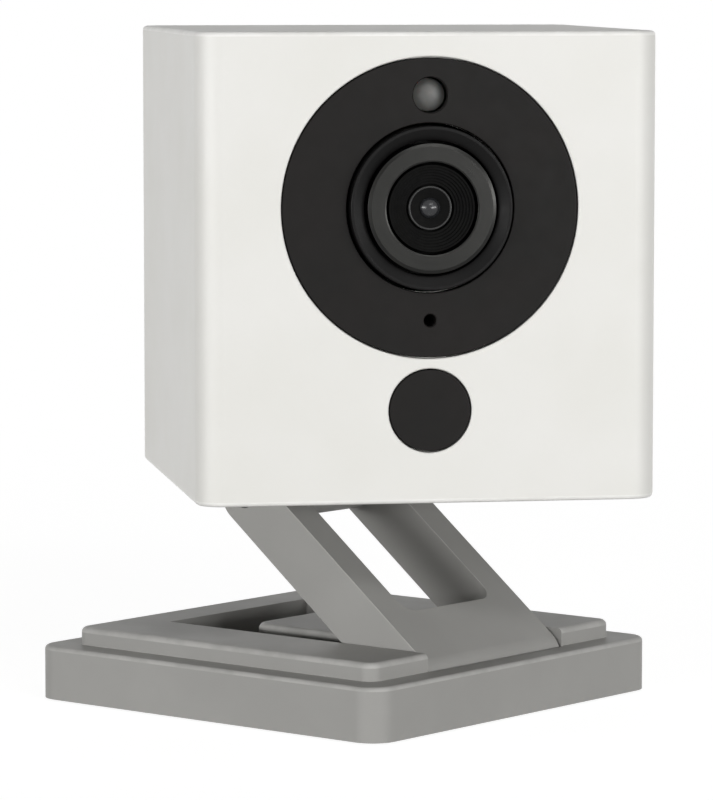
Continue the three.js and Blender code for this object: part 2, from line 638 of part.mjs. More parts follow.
/** The back of the head: grille, ports and status light. */
function rearCover() {
  const plate = backward(coverOutline(SEAT_GAP), coverY, backY, HEAD_EDGE_R / 2);
  const [y0, y1] = [coverY - OVER, backY + OVER];
  const grille = grillePlaces().map(([x, z]) => barAlongY(
    GRILLE_HOLE_R, x, speakerHeight + z, y0, y1, SMALL));
  const usb = backward(roundedRectangle(
    USB_WIDTH + 2 * PORT_MARGIN, USB_HEIGHT + 2 * PORT_MARGIN, PORT_MARGIN,
    -usbX, underMainBoard - USB_HEIGHT / 2), y0, y1, 0, 2);
  const micro = backward(roundedRectangle(
    MICRO_WIDTH + 2 * PORT_MARGIN, MICRO_HEIGHT + 2 * PORT_MARGIN, 2 * PORT_MARGIN,
    microX, underMainBoard - MICRO_HEIGHT / 2), y0, y1, 0, 3);
  const status = barAlongY(STATUS_R + SEAT_GAP, statusX, statusHeight, y0, y1);
  return cut(plate, ...grille, usb, micro, status);
}

const statusHeight = underMainBoard - USB_HEIGHT / 2;

/** Holes on a triangular grid, out to the given number of rings, as [x, z] from the middle. */
function grillePlaces() {
  const places = [];
  for (let row = -GRILLE_RINGS; row <= GRILLE_RINGS; row += 1) {
    const count = 2 * GRILLE_RINGS + 1 - Math.abs(row);
    for (let i = 0; i < count; i += 1) {
      places.push([(i - (count - 1) / 2) * GRILLE_PITCH, row * GRILLE_PITCH * Math.sin(Math.PI / 3)]);
    }
  }
  return places;
}

// ---------------------------------------------------------------- face and lens

/** The black panel round the lens, with the light sensor's and the microphone's holes. */
function faceDisc() {
  const chamfer = DISC_PLAY;
  const body = turnedAlongY([
    [SURROUND_R + SEAT_GAP, discBackY],
    [FACE_DISC_R, discBackY],
    [FACE_DISC_R, discFrontY + chamfer],
    [FACE_DISC_R - chamfer, discFrontY],
    [SURROUND_R + SEAT_GAP, discFrontY],
    [SURROUND_R + SEAT_GAP, discBackY],
  ]).translate(0, 0, lensHeight);
  const [y0, y1] = [discFrontY - OVER, discBackY + OVER];
  const mouth = solid(new THREE.CylinderGeometry(
    SENSOR_HOLE_R + OVER, SENSOR_HOLE_R, OVER + chamfer, MEDIUM).rotateX(Math.PI)
    .translate(0, discFrontY - (OVER - chamfer) / 2, sensorHeight));
  return cut(
    body, mouth,
    barAlongY(SENSOR_HOLE_R, 0, sensorHeight, y0, y1, MEDIUM),
    barAlongY(MIC_HOLE_R, 0, micHeight, y0, y1));
}

/** The dished ring that the lens stands in. */
function lensSurround() {
  const front = faceY - SURROUND_PROUD;
  const back = front + SURROUND_DEPTH;
  const edge = BEZEL_EDGE_R / 2;
  const inner = BEZEL_R + SEAT_GAP;
  return turnedAlongY([
    [BARREL_R + SEAT_GAP, back],
    [SURROUND_R, back],
    ...quarter(SURROUND_R - edge, front + edge, edge, 0, -90, 2),
    [SURROUND_R - 2 * edge, front + edge],
    [inner, front + SURROUND_DISH],
    [inner, back - SURROUND_FLANGE],
    [BARREL_R + SEAT_GAP, back - SURROUND_FLANGE],
    [BARREL_R + SEAT_GAP, back],
  ]);
}

const bezelFront = faceY - BEZEL_PROUD;
const bezelBack = bezelFront + BEZEL_THICKNESS;
const barrelFront = bezelBack + SEAT_GAP;
const baffleFront = bezelFront + BEZEL_EDGE_R;
const baffleBack = baffleFront + BAFFLE_DEPTH;
const barrelSeat = baffleBack + SEAT_GAP;

/** The retaining ring on the lens barrel's nose. */
function lensBezel() {
  const r = BEZEL_EDGE_R;
  return turnedAlongY([
    [BEZEL_BORE_R, bezelBack],
    [BEZEL_R, bezelBack],
    ...quarter(BEZEL_R - r, bezelFront + r, r, 0, -90),
    ...quarter(BEZEL_BORE_R + r, bezelFront + r, r, -90, -180),
    [BEZEL_BORE_R, bezelBack],
  ]);
}

/** The black funnel between the retaining ring and the front element. */
function lensBaffle() {
  const outer = BEZEL_BORE_R - SEAT_GAP;
  const mouthY = baffleBack - FRONT_LENS_RIM;
  return turnedAlongY([
    [BAFFLE_MOUTH_R, baffleBack],
    [outer, baffleBack],
    [outer, baffleFront],
    [outer - BEZEL_EDGE_R / 2, baffleFront],
    [BAFFLE_MOUTH_R, mouthY],
    [BAFFLE_MOUTH_R, baffleBack],
  ]);
}

/** The front element: a ground rim round a small dome. */
function frontLens() {
  const back = baffleBack;
  const rimY = back - FRONT_LENS_RIM;
  const domeR = FRONT_LENS_R - BEZEL_EDGE_R;
  const dome = Array.from({ length: 7 }, (_, i) => {
    const share = 1 - i / 6;
    return [domeR * share, rimY - FRONT_LENS_CROWN * (1 - share * share)];
  });
  return turnedAlongY([[0, back], [FRONT_LENS_R, back], [FRONT_LENS_R, rimY], ...dome], MEDIUM);
}

/** The threaded tube that holds the optics. */
function lensBarrel() {
  const back = barrelFront + BARREL_LENGTH;
  const throat = FRONT_LENS_R - BEZEL_EDGE_R;
  return turnedAlongY([
    [BARREL_BORE_R, back],
    [BARREL_R, back],
    [BARREL_R, barrelFront],
    [BEZEL_BORE_R, barrelFront],
    [BEZEL_BORE_R, barrelSeat],
    [throat, barrelSeat],
    [throat, barrelSeat + STOP_THICKNESS],
    [BARREL_BORE_R, barrelSeat + 2 * STOP_THICKNESS],
    [BARREL_BORE_R, back],
  ], MEDIUM);
}

const stopY = barrelSeat + 3 * STOP_THICKNESS;

function apertureStop() {
  const outer = BARREL_BORE_R - SEAT_GAP;
  return turnedAlongY([
    [STOP_R, stopY], [outer, stopY], [outer, stopY + STOP_THICKNESS],
    [STOP_R, stopY + STOP_THICKNESS], [STOP_R, stopY],
  ], MEDIUM);
}

function rearLens() {
  const outer = BARREL_BORE_R - SEAT_GAP;
  const front = stopY + 2 * STOP_THICKNESS;
  const crown = STOP_THICKNESS;
  return turnedAlongY([
    [0, front], [outer / 2, front + crown / 4], [outer, front + crown],
    [outer, front + REAR_LENS_LENGTH - crown], [outer / 2, front + REAR_LENS_LENGTH - crown / 4],
    [0, front + REAR_LENS_LENGTH],
  ].reverse(), COARSE);
}

const slotFrontY = barrelFront + BARREL_LENGTH + SEAT_GAP;
const slotDepth = FILTER_THICKNESS + 2 * SEAT_GAP;
const carriageLength = 2 * FILTER_WIDTH + 2 * FILTER_FRAME;

/** The lens mount: a neck for the barrel, a slot for the filter carriage and a well for the image sensor. */
function lensHolder() {
  const back = onSensorBoardY;
  const front = slotFrontY - HOLDER_WALL;
  const neckFront = faceY - SURROUND_PROUD + SURROUND_DEPTH + SEAT_GAP;
  const body = backward(
    roundedRectangle(HOLDER_WIDTH + 2 * HOLDER_WALL, HOLDER_HEIGHT, HOLDER_WALL), front, back, 0, 3);
  const neck = barAlongY(HOLDER_NECK_R, 0, 0, neckFront, front + HOLDER_WALL / 2, MEDIUM);
  const bore = barAlongY(BARREL_R + SEAT_GAP, 0, 0, neckFront - OVER, slotFrontY, MEDIUM);
  const slotHalf = carriageLength / 2 + FILTER_WIDTH / 2 + SEAT_GAP;
  const slotHeight = FILTER_HEIGHT / 2 + FILTER_FRAME + SEAT_GAP;
  const slot = block(
    -slotHalf, slotHalf, slotFrontY - SEAT_GAP, slotFrontY + slotDepth, -slotHeight, slotHeight);
  const wellHalf = FILTER_HEIGHT / 2;
  const well = block(-wellHalf, wellHalf, slotFrontY, back + OVER, -wellHalf, wellHalf);
  return cut(join(body, neck), bore, slot, well);
}

/** The carriage that swaps the infrared-blocking pane for the clear one at night. */
function makeFilter(group) {
  const y0 = slotFrontY + SEAT_GAP;
  const y1 = y0 + FILTER_THICKNESS;
  const height = FILTER_HEIGHT + 2 * FILTER_FRAME;
  const paneX = [0, FILTER_WIDTH];                       // the first pane is behind the lens by day
  const inner = FILTER_WIDTH / 2 - FILTER_FRAME / 2;
  const frame = backward(
    roundedRectangle(carriageLength, height, FILTER_FRAME, FILTER_WIDTH / 2, 0), y0, y1, 0, 3);
  const windows = paneX.map((x) => block(x - inner, x + inner, y0 - OVER, y1 + OVER, -inner, inner));
  const carriage = cut(frame, ...windows).translate(0, 0, lensHeight);
  piece(group, 'filter_carriage', carriage, blackSatin);
  const names = ['infrared_block_pane', 'clear_pane'];
  paneX.forEach((x, i) => {
    const half = inner - SEAT_GAP;
    const middle = (y0 + y1) / 2;
    const pane = block(
      x - half, x + half, middle - PANE_THICKNESS / 2, middle + PANE_THICKNESS / 2,
      lensHeight - half, lensHeight + half);
    piece(group, names[i], pane, lensGlass);
  });
  const coilBack = slotFrontY - HOLDER_WALL - SEAT_GAP;
  const coil = roundedRectangle(COIL_WIDTH, COIL_HEIGHT, FILTER_FRAME, coilX, lensHeight);
  piece(group, 'filter_coil', backward(coil, coilBack - COIL_DEPTH, coilBack, 0, 3), chipBlack);
}

const coilX = HOLDER_NECK_R + SEAT_GAP + COIL_WIDTH / 2;

function makeFace(group) {
  const raised = (body) => body.translate(0, 0, lensHeight);
  piece(group, 'face_disc', faceDisc(), blackGloss);
  piece(group, 'ir_window', barAlongY(WINDOW_R, 0, windowHeight, discFrontY, discBackY, MEDIUM), blackGloss);
  piece(group, 'lens_surround', raised(lensSurround()), blackSatin);
  piece(group, 'lens_bezel', raised(lensBezel()), anodised);
  piece(group, 'lens_baffle', raised(lensBaffle()), blackSatin);
  piece(group, 'front_lens', raised(frontLens()), lensGlass);
  piece(group, 'lens_barrel', raised(lensBarrel()), blackSatin);
  piece(group, 'aperture_stop', raised(apertureStop()), blackSatin);
  piece(group, 'rear_lens', raised(rearLens()), lensGlass);
  piece(group, 'lens_holder', raised(lensHolder()), blackSatin);
}

// ---------------------------------------------------------------- electronics

/** The board behind the lens, with what stands on its front. */
function makeSensorBoard(group) {
  const outline = roundedRectangle(2 * boardHalfWidth, 2 * boardHalfHeight, HEAD_EDGE_R, 0, boardMiddle);
  const holes = bossPlaces.map(([x, z]) => barAlongY(
    BOARD_SCREW_R + SEAT_GAP, x, z, SENSOR_BOARD_Y - OVER, boardBackY + OVER));
  const board = cut(backward(outline, SENSOR_BOARD_Y, boardBackY, 0, 2), ...holes);
  piece(group, 'sensor_board', board, boardGreen);
  bossPlaces.forEach(([x, z], i) => {
    const seat = boardBackY + SEAT_GAP;
    const head = turnedAlongY([
      [0, seat], [BOARD_SCREW_HEAD_R, seat], [BOARD_SCREW_HEAD_R, seat + BOARD_SCREW_HEAD_HEIGHT / 2],
      [BOARD_SCREW_HEAD_R / 2, seat + BOARD_SCREW_HEAD_HEIGHT], [0, seat + BOARD_SCREW_HEAD_HEIGHT],
    ], COARSE).translate(x, 0, z);
    const shank = barAlongY(
      BOARD_SCREW_R, x, z, onSensorBoardY - BOARD_SCREW_LENGTH, seat + BOARD_SCREW_HEAD_HEIGHT / 2);
    piece(group, `board_screw_${i + 1}`, join(head, shank), steel);
  });
  const chipHalf = FILTER_HEIGHT / 2 - 2 * SEAT_GAP;
  const chipFront = slotFrontY + slotDepth + SEAT_GAP;
  const chip = block(
    -chipHalf, chipHalf, chipFront, onSensorBoardY, lensHeight - chipHalf, lensHeight + chipHalf);
  piece(group, 'image_sensor', chip, chipBlack);
}

/** The light pipe and sensor above the lens, and the microphone in its rubber boot below it. */
function makeSensors(group) {
  const r = SENSOR_HOLE_R - SEAT_GAP / 2;
  const tipY = discFrontY + SENSOR_HOLE_R / 2;
  const chip = FACE_DISC_THICKNESS;
  const pipeBack = onSensorBoardY - chip - SEAT_GAP;
  const pipe = turnedAlongY([
    [0, pipeBack], [r, pipeBack], [r, tipY + r / 2],
    [r * 0.87, tipY + r / 4], [r * 0.5, tipY + r / 12], [0, tipY],
  ], MEDIUM).translate(0, 0, sensorHeight);
  piece(group, 'light_pipe', pipe, frosted);
  piece(group, 'light_sensor', block(
    -chip, chip, onSensorBoardY - chip, onSensorBoardY, sensorHeight - chip, sensorHeight + chip), chipBlack);
  const capsuleR = MIC_HOLE_R * 3;
  const capsuleFront = onSensorBoardY - capsuleR;
  piece(group, 'microphone', barAlongY(capsuleR, 0, micHeight, capsuleFront, onSensorBoardY), nickel);
  const bootFront = insideFaceY + SEAT_GAP;
  const boot = turnedAlongY([
    [MIC_HOLE_R, bootFront], [capsuleR * 0.9, bootFront], [capsuleR * 0.9, capsuleFront - SEAT_GAP],
    [MIC_HOLE_R, capsuleFront - SEAT_GAP], [MIC_HOLE_R, bootFront],
  ], COARSE).translate(0, 0, micHeight);
  piece(group, 'microphone_boot', boot, rubberBlack);
}

/** The four infrared lamps behind their window. */
function makeLamps(group) {
  const ledFront = insideFaceY + SEAT_GAP / 2;
  const boardY = ledFront + LED_R + SEAT_GAP;
  const height = 2 * (windowHeight - floorTop - SEAT_GAP);
  piece(group, 'infrared_board', backward(
    roundedRectangle(LED_BOARD_WIDTH, height, HEAD_EDGE_R, 0, windowHeight),
    boardY, boardY + LED_BOARD_THICKNESS, 0, 2), boardGreen);
  const places = [-1, 1].flatMap((side) => [-1, 1].map((end) => [side, end]));
  places.forEach(([side, end], i) => {
    const led = turnedAlongY([
      [0, boardY - SEAT_GAP], [LED_R, boardY - SEAT_GAP], [LED_R, ledFront + LED_R / 2],
      [LED_R * 0.75, ledFront + LED_R / 6], [0, ledFront],
    ], COARSE).translate((side * LED_SPACING) / 2, 0, windowHeight + (end * LED_SPACING) / 2);
    piece(group, `infrared_led_${i + 1}`, led, frosted);
  });
}

/** The level board across the head, with the processor under its heat spreader and the radio on it. */
function makeMainBoard(group) {
  const half = insideHalf - SEAT_GAP;
  const back = ledgeY - SEAT_GAP;
  const board = upright(
    roundedRectangle(2 * half, back - MAIN_BOARD_FRONT, HEAD_EDGE_R, 0, (back + MAIN_BOARD_FRONT) / 2),
    mainBoardBottom, mainBoardTop, 0, 2);
  piece(group, 'main_board', board, boardGreen);
  const chipTop = onMainBoard + PROCESSOR_HEIGHT;
  const chipX = -RIBBON_WIDTH / 2 - PART_SPACING - PROCESSOR_WIDTH / 2;
  const chipY = speakerFront - PART_SPACING - SPREADER_WIDTH / 2;
  piece(group, 'processor', blockAround(
    chipX, chipY, PROCESSOR_WIDTH, PROCESSOR_WIDTH, onMainBoard, chipTop), chipBlack);
  const spreaderBottom = chipTop + SEAT_GAP;
  const base = blockAround(
    chipX, chipY, SPREADER_WIDTH, SPREADER_WIDTH, spreaderBottom, spreaderBottom + SPREADER_THICKNESS);
  const finPitch = (SPREADER_WIDTH - FIN_THICKNESS) / (SPREADER_FINS - 1);
  const fins = Array.from({ length: SPREADER_FINS }, (_, i) => blockAround(
    chipX + (i - (SPREADER_FINS - 1) / 2) * finPitch, chipY, FIN_THICKNESS, SPREADER_WIDTH,
    spreaderBottom + SPREADER_THICKNESS / 2, spreaderBottom + SPREADER_HEIGHT));
  piece(group, 'heat_spreader', join(base, ...fins), aluminium);
  const radioX = RIBBON_WIDTH / 2 + PART_SPACING + RADIO_WIDTH / 2;
  const radio = roundedRectangle(RADIO_WIDTH, RADIO_DEPTH, HEAD_EDGE_R, radioX, chipY);
  piece(group, 'wifi_module', upright(radio, onMainBoard, onMainBoard + RADIO_HEIGHT, SEAT_GAP, 2), nickel);
  const antennaTop = ceiling - SEAT_GAP;
  const antennaY = insideFaceY + ANTENNA_SETBACK + ANTENNA_DEPTH / 2;
  piece(group, 'antenna', blockAround(
    0, antennaY, ANTENNA_WIDTH, ANTENNA_DEPTH, antennaTop - FILM_THICKNESS, antennaTop), amberFilm);
  piece(group, 'ribbon_cable', ribbon(), amberFilm);
}

const ribbonStart = boardBackY + SEAT_GAP;
const ribbonFoot = ribbonStart + FILM_THICKNESS + RIBBON_BEND_R;
const ribbonEnd = ribbonFoot + RIBBON_LANDING;

/** The flat cable from the sensor board's back down to the main board's top. */
function ribbon() {
  const centreZ = onMainBoard + FILM_THICKNESS + RIBBON_BEND_R;
  const outer = RIBBON_BEND_R + FILM_THICKNESS;
  const side = new THREE.Shape();
  side.moveTo(ribbonStart, mainBoardTop + RIBBON_RISE);
  side.absarc(ribbonFoot, centreZ, outer, Math.PI, Math.PI * 1.5);
  side.lineTo(ribbonEnd, onMainBoard);
  side.lineTo(ribbonEnd, onMainBoard + FILM_THICKNESS);
  side.absarc(ribbonFoot, centreZ, RIBBON_BEND_R, Math.PI * 1.5, Math.PI, true);
  side.lineTo(ribbonStart + FILM_THICKNESS, mainBoardTop + RIBBON_RISE);
  side.closePath();
  const strip = extrusion(side, RIBBON_WIDTH, 0, 6);
  return solid(strip.rotateX(Math.PI / 2).rotateZ(Math.PI / 2).translate(-RIBBON_WIDTH / 2, 0, 0));
}

// ---------------------------------------------------------------- ports, controls, sound

/** A metal-skinned socket with its mouth at the back of the head and a contact tongue inside. */
function socket(x, width, height, depth, skin, tongue) {
  const [z1, z0] = [underMainBoard, underMainBoard - height];
  const shell = block(x - width / 2, x + width / 2, portY - depth, portY, z0, z1);
  const mouth = block(
    x - width / 2 + skin, x + width / 2 - skin, portY - depth + 4 * skin, portY + OVER, z0 + skin, z1 - skin);
  const half = width * tongue.width / 2;
  const middle = z1 - height * tongue.drop;
  const bar = block(
    x - half, x + half, portY - depth + 2 * skin, portY - 2 * skin,
    middle - (height * tongue.thickness) / 2, middle + (height * tongue.thickness) / 2);
  return join(cut(shell, mouth), bar);
}

function makePorts(group) {
  const wideTongue = { width: 0.8, drop: 0.36, thickness: 0.3 };
  const narrowTongue = { width: 0.5, drop: 0.45, thickness: 0.2 };
  piece(group, 'usb_a_socket', socket(
    -usbX, USB_WIDTH, USB_HEIGHT, USB_DEPTH, USB_SKIN, wideTongue), nickel);
  piece(group, 'micro_usb_socket', socket(
    microX, MICRO_WIDTH, MICRO_HEIGHT, MICRO_DEPTH, USB_SKIN, narrowTongue), nickel);
  const half = CARD_WIDTH / 2 + CARD_SOCKET_WALL;
  const deep = CARD_SLOT / 2 + CARD_SOCKET_SKIN;
  const bottom = floorTop + SEAT_GAP;
  const body = block(-half, half, cardY - deep, cardY + deep, bottom, underMainBoard);
  const slot = block(
    -CARD_WIDTH / 2, CARD_WIDTH / 2, cardY - CARD_SLOT / 2, cardY + CARD_SLOT / 2,
    bottom - OVER, underMainBoard - CARD_SOCKET_WALL);
  piece(group, 'card_socket', cut(body, slot), nickel);
  const statusFront = ledgeY - COVER_THICKNESS;
  const statusBack = backY - FACE_DISC_INSET;
  piece(group, 'status_light', barAlongY(STATUS_R, statusX, statusHeight, statusFront, statusBack), frosted);
}

/** The setup button under the head, and the switch that its stem presses. */
function makeButton(group) {
  const switchBottom = underMainBoard - SWITCH_HEIGHT;
  const stemTop = switchBottom - BUTTON_TRAVEL - SEAT_GAP;
  const capBottom = nestTop - SEAT_GAP;
  const collar = floorTop + SEAT_GAP;
  const button = turnedAlongZ([
    [0, capBottom], [BUTTON_R - SEAT_GAP, capBottom], [BUTTON_R, capBottom + SEAT_GAP], [BUTTON_R, collar],
    [BUTTON_R + 2 * PIN_PLAY, collar], [BUTTON_R + 2 * PIN_PLAY, collar + COVER_LIP],
    [BUTTON_STEM_R, collar + COVER_LIP], [BUTTON_STEM_R, stemTop], [0, stemTop],
  ], COARSE).translate(buttonX, buttonY, 0);
  piece(group, 'setup_button', button, greyAbs);
  const half = SWITCH_WIDTH / 2;
  const tactSwitch = block(
    buttonX - half, buttonX + half, buttonY - half, buttonY + half, switchBottom, underMainBoard);
  piece(group, 'setup_switch', tactSwitch, chipBlack);
}

/** The loudspeaker behind the grille, on its foam ring. */
function makeSpeaker(group) {
  const dustCapR = CONE_R / 3;
  const speaker = turnedAlongY([
    [0, speakerFront], [MAGNET_R, speakerFront], [MAGNET_R, speakerRim - CONE_DEPTH - SPEAKER_RIM],
    [SPEAKER_R, speakerRim - SPEAKER_RIM], [SPEAKER_R, speakerRim], [CONE_R, speakerRim],
    [CONE_R - SPEAKER_RIM, speakerRim - SPEAKER_RIM / 2], [dustCapR, speakerRim - CONE_DEPTH],
    [dustCapR / 2, speakerRim - CONE_DEPTH * 0.75], [0, speakerRim - CONE_DEPTH * 0.65],
  ], MEDIUM).translate(0, 0, speakerHeight);
  piece(group, 'speaker', speaker, blackSatin);
  const ring = turnedAlongY([
    [CONE_R, gasketFront], [SPEAKER_R, gasketFront], [SPEAKER_R, gasketBack], [CONE_R, gasketBack],
    [CONE_R, gasketFront],
  ], MEDIUM).translate(0, 0, speakerHeight);
  piece(group, 'speaker_gasket', ring, rubberBlack);
}

// ---------------------------------------------------------------- assembly

const camera = new THREE.Group();

const base = new THREE.Group();
makeBase(base);

const armFrame = new THREE.Group();
armFrame.position.copy(lowerAxis);
armFrame.rotation.y = axisRise;
makeArm(armFrame);

const turntableFrame = new THREE.Group();
turntableFrame.position.set(headX, 0, rimHeight);
makeTurntable(turntableFrame);

const head = new THREE.Group();
head.position.set(headX, 0, rimHeight);
head.rotation.z = THREE.MathUtils.degToRad(HEAD_YAW);
piece(head, 'housing_shell', housingShell(), whiteAbs);
piece(head, 'rear_cover', rearCover(), whiteAbs);
makeFace(head);
makeFilter(head);
makeSensorBoard(head);
makeSensors(head);
makeLamps(head);
makeMainBoard(head);
makePorts(head);
makeButton(head);
makeSpeaker(head);

camera.add(base, armFrame, turntableFrame, head);

export default camera;
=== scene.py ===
"""Looks for a compact indoor security camera: a white cube-shaped head on a grey folding stand.

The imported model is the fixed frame. Every piece here is modelled in its sub-assembly's own frame, in
millimetres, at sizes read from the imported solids, and is then put in its place in metres. The head's own frame
has x to the right across the face, y from the face to the back and z up from its rim.
"""

from __future__ import annotations

import json
import logging
import math
from dataclasses import dataclass, field
from enum import Enum
from typing import Callable, Iterable, Sequence

import bmesh
import bpy
from mathutils import Matrix, Vector


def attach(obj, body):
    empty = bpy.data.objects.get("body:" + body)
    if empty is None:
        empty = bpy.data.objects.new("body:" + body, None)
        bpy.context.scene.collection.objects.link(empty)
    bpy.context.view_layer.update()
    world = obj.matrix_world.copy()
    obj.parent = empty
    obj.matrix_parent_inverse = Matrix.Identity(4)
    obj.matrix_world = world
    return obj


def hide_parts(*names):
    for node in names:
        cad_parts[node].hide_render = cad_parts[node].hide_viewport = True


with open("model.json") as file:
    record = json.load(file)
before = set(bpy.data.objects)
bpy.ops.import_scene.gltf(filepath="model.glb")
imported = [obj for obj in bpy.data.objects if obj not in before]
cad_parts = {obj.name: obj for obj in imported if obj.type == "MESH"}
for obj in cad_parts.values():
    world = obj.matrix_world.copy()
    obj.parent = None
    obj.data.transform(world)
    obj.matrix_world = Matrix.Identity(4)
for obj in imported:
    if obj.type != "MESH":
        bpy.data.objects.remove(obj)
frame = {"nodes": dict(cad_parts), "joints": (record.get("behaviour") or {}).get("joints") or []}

LOG = logging.getLogger("security_camera")
MM = 0.001  # metres in a millimetre
MERGE = 1e-3  # points of a mesh closer than this, in millimetres, are one point
PAST = 1.0  # how far a cutter runs past what it cuts, in millimetres
PLACES = 3  # decimal places to which two normals are compared
SMOOTH_BELOW = 32.0  # edges flatter than this, in degrees, are shaded smooth
SHARP_ABOVE = 40.0  # edges sharper than this, in degrees, have their sharpness taken off
FILLET_STEP = 15.0  # the turn between neighbouring points of a fillet, in degrees
DOME_STEPS = 14
WEAR_AND_HIGHLIGHT = "rubbed_and_highlit"  # the attribute that marks the rounded edge faces that are painted paler, as wear and as a painted highlight

Tree = bpy.types.NodeTree
Socket = bpy.types.NodeSocket
Pair = tuple[float, float]
Triple = Sequence[float]
Corner = tuple[float, float, float]  # radius, place along the axis, fillet


# ---- places from the frame


def joint(name: str) -> dict:
    """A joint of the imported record, found by its name."""
    return next(entry for entry in frame["joints"] if entry["name"] == name)


def turntable_place() -> Matrix:
    """The turntable's frame: on the swivel's axis, unturned."""
    return Matrix.Translation(joint("swivel")["pos_m"])


def head_place() -> Matrix:
    """The head's frame: on the swivel's axis, turned as the filter's slide shows."""
    across = joint("filter_slide")["axis"]
    return turntable_place() @ Matrix.Rotation(math.atan2(-across[1], -across[0]), 4, "Z")


def arm_place() -> Matrix:
    """The arm's frame: on the lower hinge, with the upper one along its -X."""
    low, high = (Vector(joint(name)["pos_m"]) for name in ("base_hinge", "top_hinge"))
    return Matrix.Translation(low) @ Matrix.Rotation(math.atan2(high.z - low.z, low.x - high.x), 4, "Y")


# ---- shader helpers


def colour(code: str) -> tuple[float, ...]:
    """Turns an sRGB hex value into the linear colour that a shader takes.

    Args:
        code: Six hex digits.

    Returns:
        Linear red, green and blue, and full alpha.
    """
    channels = [int(code[i : i + 2], 16) / 255 for i in (0, 2, 4)]
    linear = [c / 12.92 if c <= 0.04045 else ((c + 0.055) / 1.055) ** 2.4 for c in channels]
    return (*linear, 1.0)


def add_node(tree: Tree, kind: str, inputs: dict, **settings: object) -> bpy.types.NodeOutputs:
    """Adds a node with its settings and its inputs.

    Args:
        tree: The tree that gets the node.
        kind: The node's type, without its ShaderNode prefix.
        inputs: Values or sockets to link, by the input's name or number.
        **settings: The node's own properties.

    Returns:
        The node's outputs.
    """
    node = tree.nodes.new(f"ShaderNode{kind}")
    for name, value in settings.items():
        setattr(node, name, value)
    for key, value in inputs.items():
        if isinstance(value, Socket):
            tree.links.new(value, node.inputs[key])
        else:
            node.inputs[key].default_value = value
    return node.outputs


def per_mm(size: float) -> float:
    """The scale of a texture whose features are this many millimetres across, on metres."""
    return 1 / (size * MM)


# ---- finishes


@dataclass(frozen=True)
class Finish:
    """A surface: what it is made of and how it was made. Its lengths are in millimetres."""

    name: str
    tone: str
    drift: str  # the colour that the tone drifts towards in patches
    roughness: float
    spread: float  # how far roughness drifts either way
    patch: float
    grain: float
    depth: float  # how deep the grain is
    shader: dict[str, float] = field(default_factory=dict)  # constants on the shader's own sockets

    def make(self) -> bpy.types.Material:
        """Builds the material, or finds it if it was built before.

        Returns:
            The material.
        """
        found = bpy.data.materials.get(self.name)
        if found:
            return found
        material = bpy.data.materials.new(self.name)
        material.use_nodes = True
        material.diffuse_color = colour(self.tone)
        tree = material.node_tree
        inputs = tree.nodes["Principled BSDF"].inputs
        for name, value in self.shader.items():
            inputs[name].default_value = value
        coords = add_node(tree, "TexCoord", {})["Object"]
        for name, layer in (("Base Color", self.paint), ("Roughness", self.dull), ("Normal", self.relief)):
            tree.links.new(layer(tree, coords), inputs[name])
        return material

    def paint(self, tree: Tree, coords: Socket) -> Socket:
        """Drifts between the two tones in soft patches.

        Args:
            tree: The material's tree.
            coords: Object coordinates.

        Returns:
            The colour socket.
        """
        cloud = add_node(tree, "TexNoise", {"Vector": coords, "Scale": per_mm(self.patch), "Detail": 3.0})
        share = add_node(tree, "MapRange", {"Value": cloud["Fac"], "From Min": 0.35, "From Max": 0.65})
        tones = {0: share["Result"], 6: colour(self.tone), 7: colour(self.drift)}
        return add_node(tree, "Mix", tones, data_type="RGBA")[2]

    def dull(self, tree: Tree, coords: Socket) -> Socket:
        """Varies the roughness a little, as handling does.

        Args:
            tree: The material's tree.
            coords: Object coordinates.

        Returns:
            The roughness socket.
        """
        smear = add_node(tree, "TexNoise", {
            "Vector": coords, "Scale": per_mm(self.patch / 3), "Detail": 4.0, "Roughness": 0.6})
        return add_node(tree, "MapRange", {
            "Value": smear["Fac"], "From Min": 0.3, "From Max": 0.7,
            "To Min": self.roughness - self.spread, "To Max": self.roughness + self.spread})["Result"]

    def relief(self, tree: Tree, coords: Socket) -> Socket:
        """Raises the surface's grain.

        Args:
            tree: The material's tree.
            coords: Object coordinates.

        Returns:
            The normal socket.
        """
        grain = add_node(tree, "TexNoise", {"Vector": coords, "Scale": per_mm(self.grain), "Detail": 2.0})
        return self.emboss(tree, grain["Fac"])

    def emboss(self, tree: Tree, height: Socket) -> Socket:
        """A normal socket that raises a height pattern by this finish's depth."""
        return add_node(
            tree, "Bump", {"Height": height, "Distance": self.depth * MM, "Strength": 1.0})["Normal"]


@dataclass(frozen=True)
class WornAndHighlitMoulding(Finish):
    """Moulded plastic whose outer edges are painted paler: a little wear and a painted highlight."""

    edge_wear_and_highlight_tone: str = "FFFFFF"
    wear_and_highlight: float = 0.3  # how much of the edge's colour shows

    def paint(self, tree: Tree, coords: Socket) -> Socket:
        """Adds paler edges to the patches: wear and a painted highlight.

        Args:
            tree: The material's tree.
            coords: Object coordinates.

        Returns:
            The colour socket.
        """
        under = super().paint(tree, coords)
        # The marked edge faces are painted paler, as wear and as a painted highlight.
        mark = add_node(tree, "Attribute", {}, attribute_name=WEAR_AND_HIGHLIGHT)["Fac"]
        breakup = add_node(
            tree, "TexNoise", {"Vector": coords, "Scale": per_mm(self.patch / 4), "Detail": 5.0})
        patchy = add_node(tree, "MapRange", {
            "Value": breakup["Fac"], "From Min": 0.2, "From Max": 0.6, "To Max": self.wear_and_highlight})
        rubbed_and_highlit = add_node(tree, "Math", {0: mark, 1: patchy["Result"]}, operation="MULTIPLY")
        tones = {0: rubbed_and_highlit["Value"], 6: under, 7: colour(self.edge_wear_and_highlight_tone)}
        return add_node(tree, "Mix", tones, data_type="RGBA")[2]


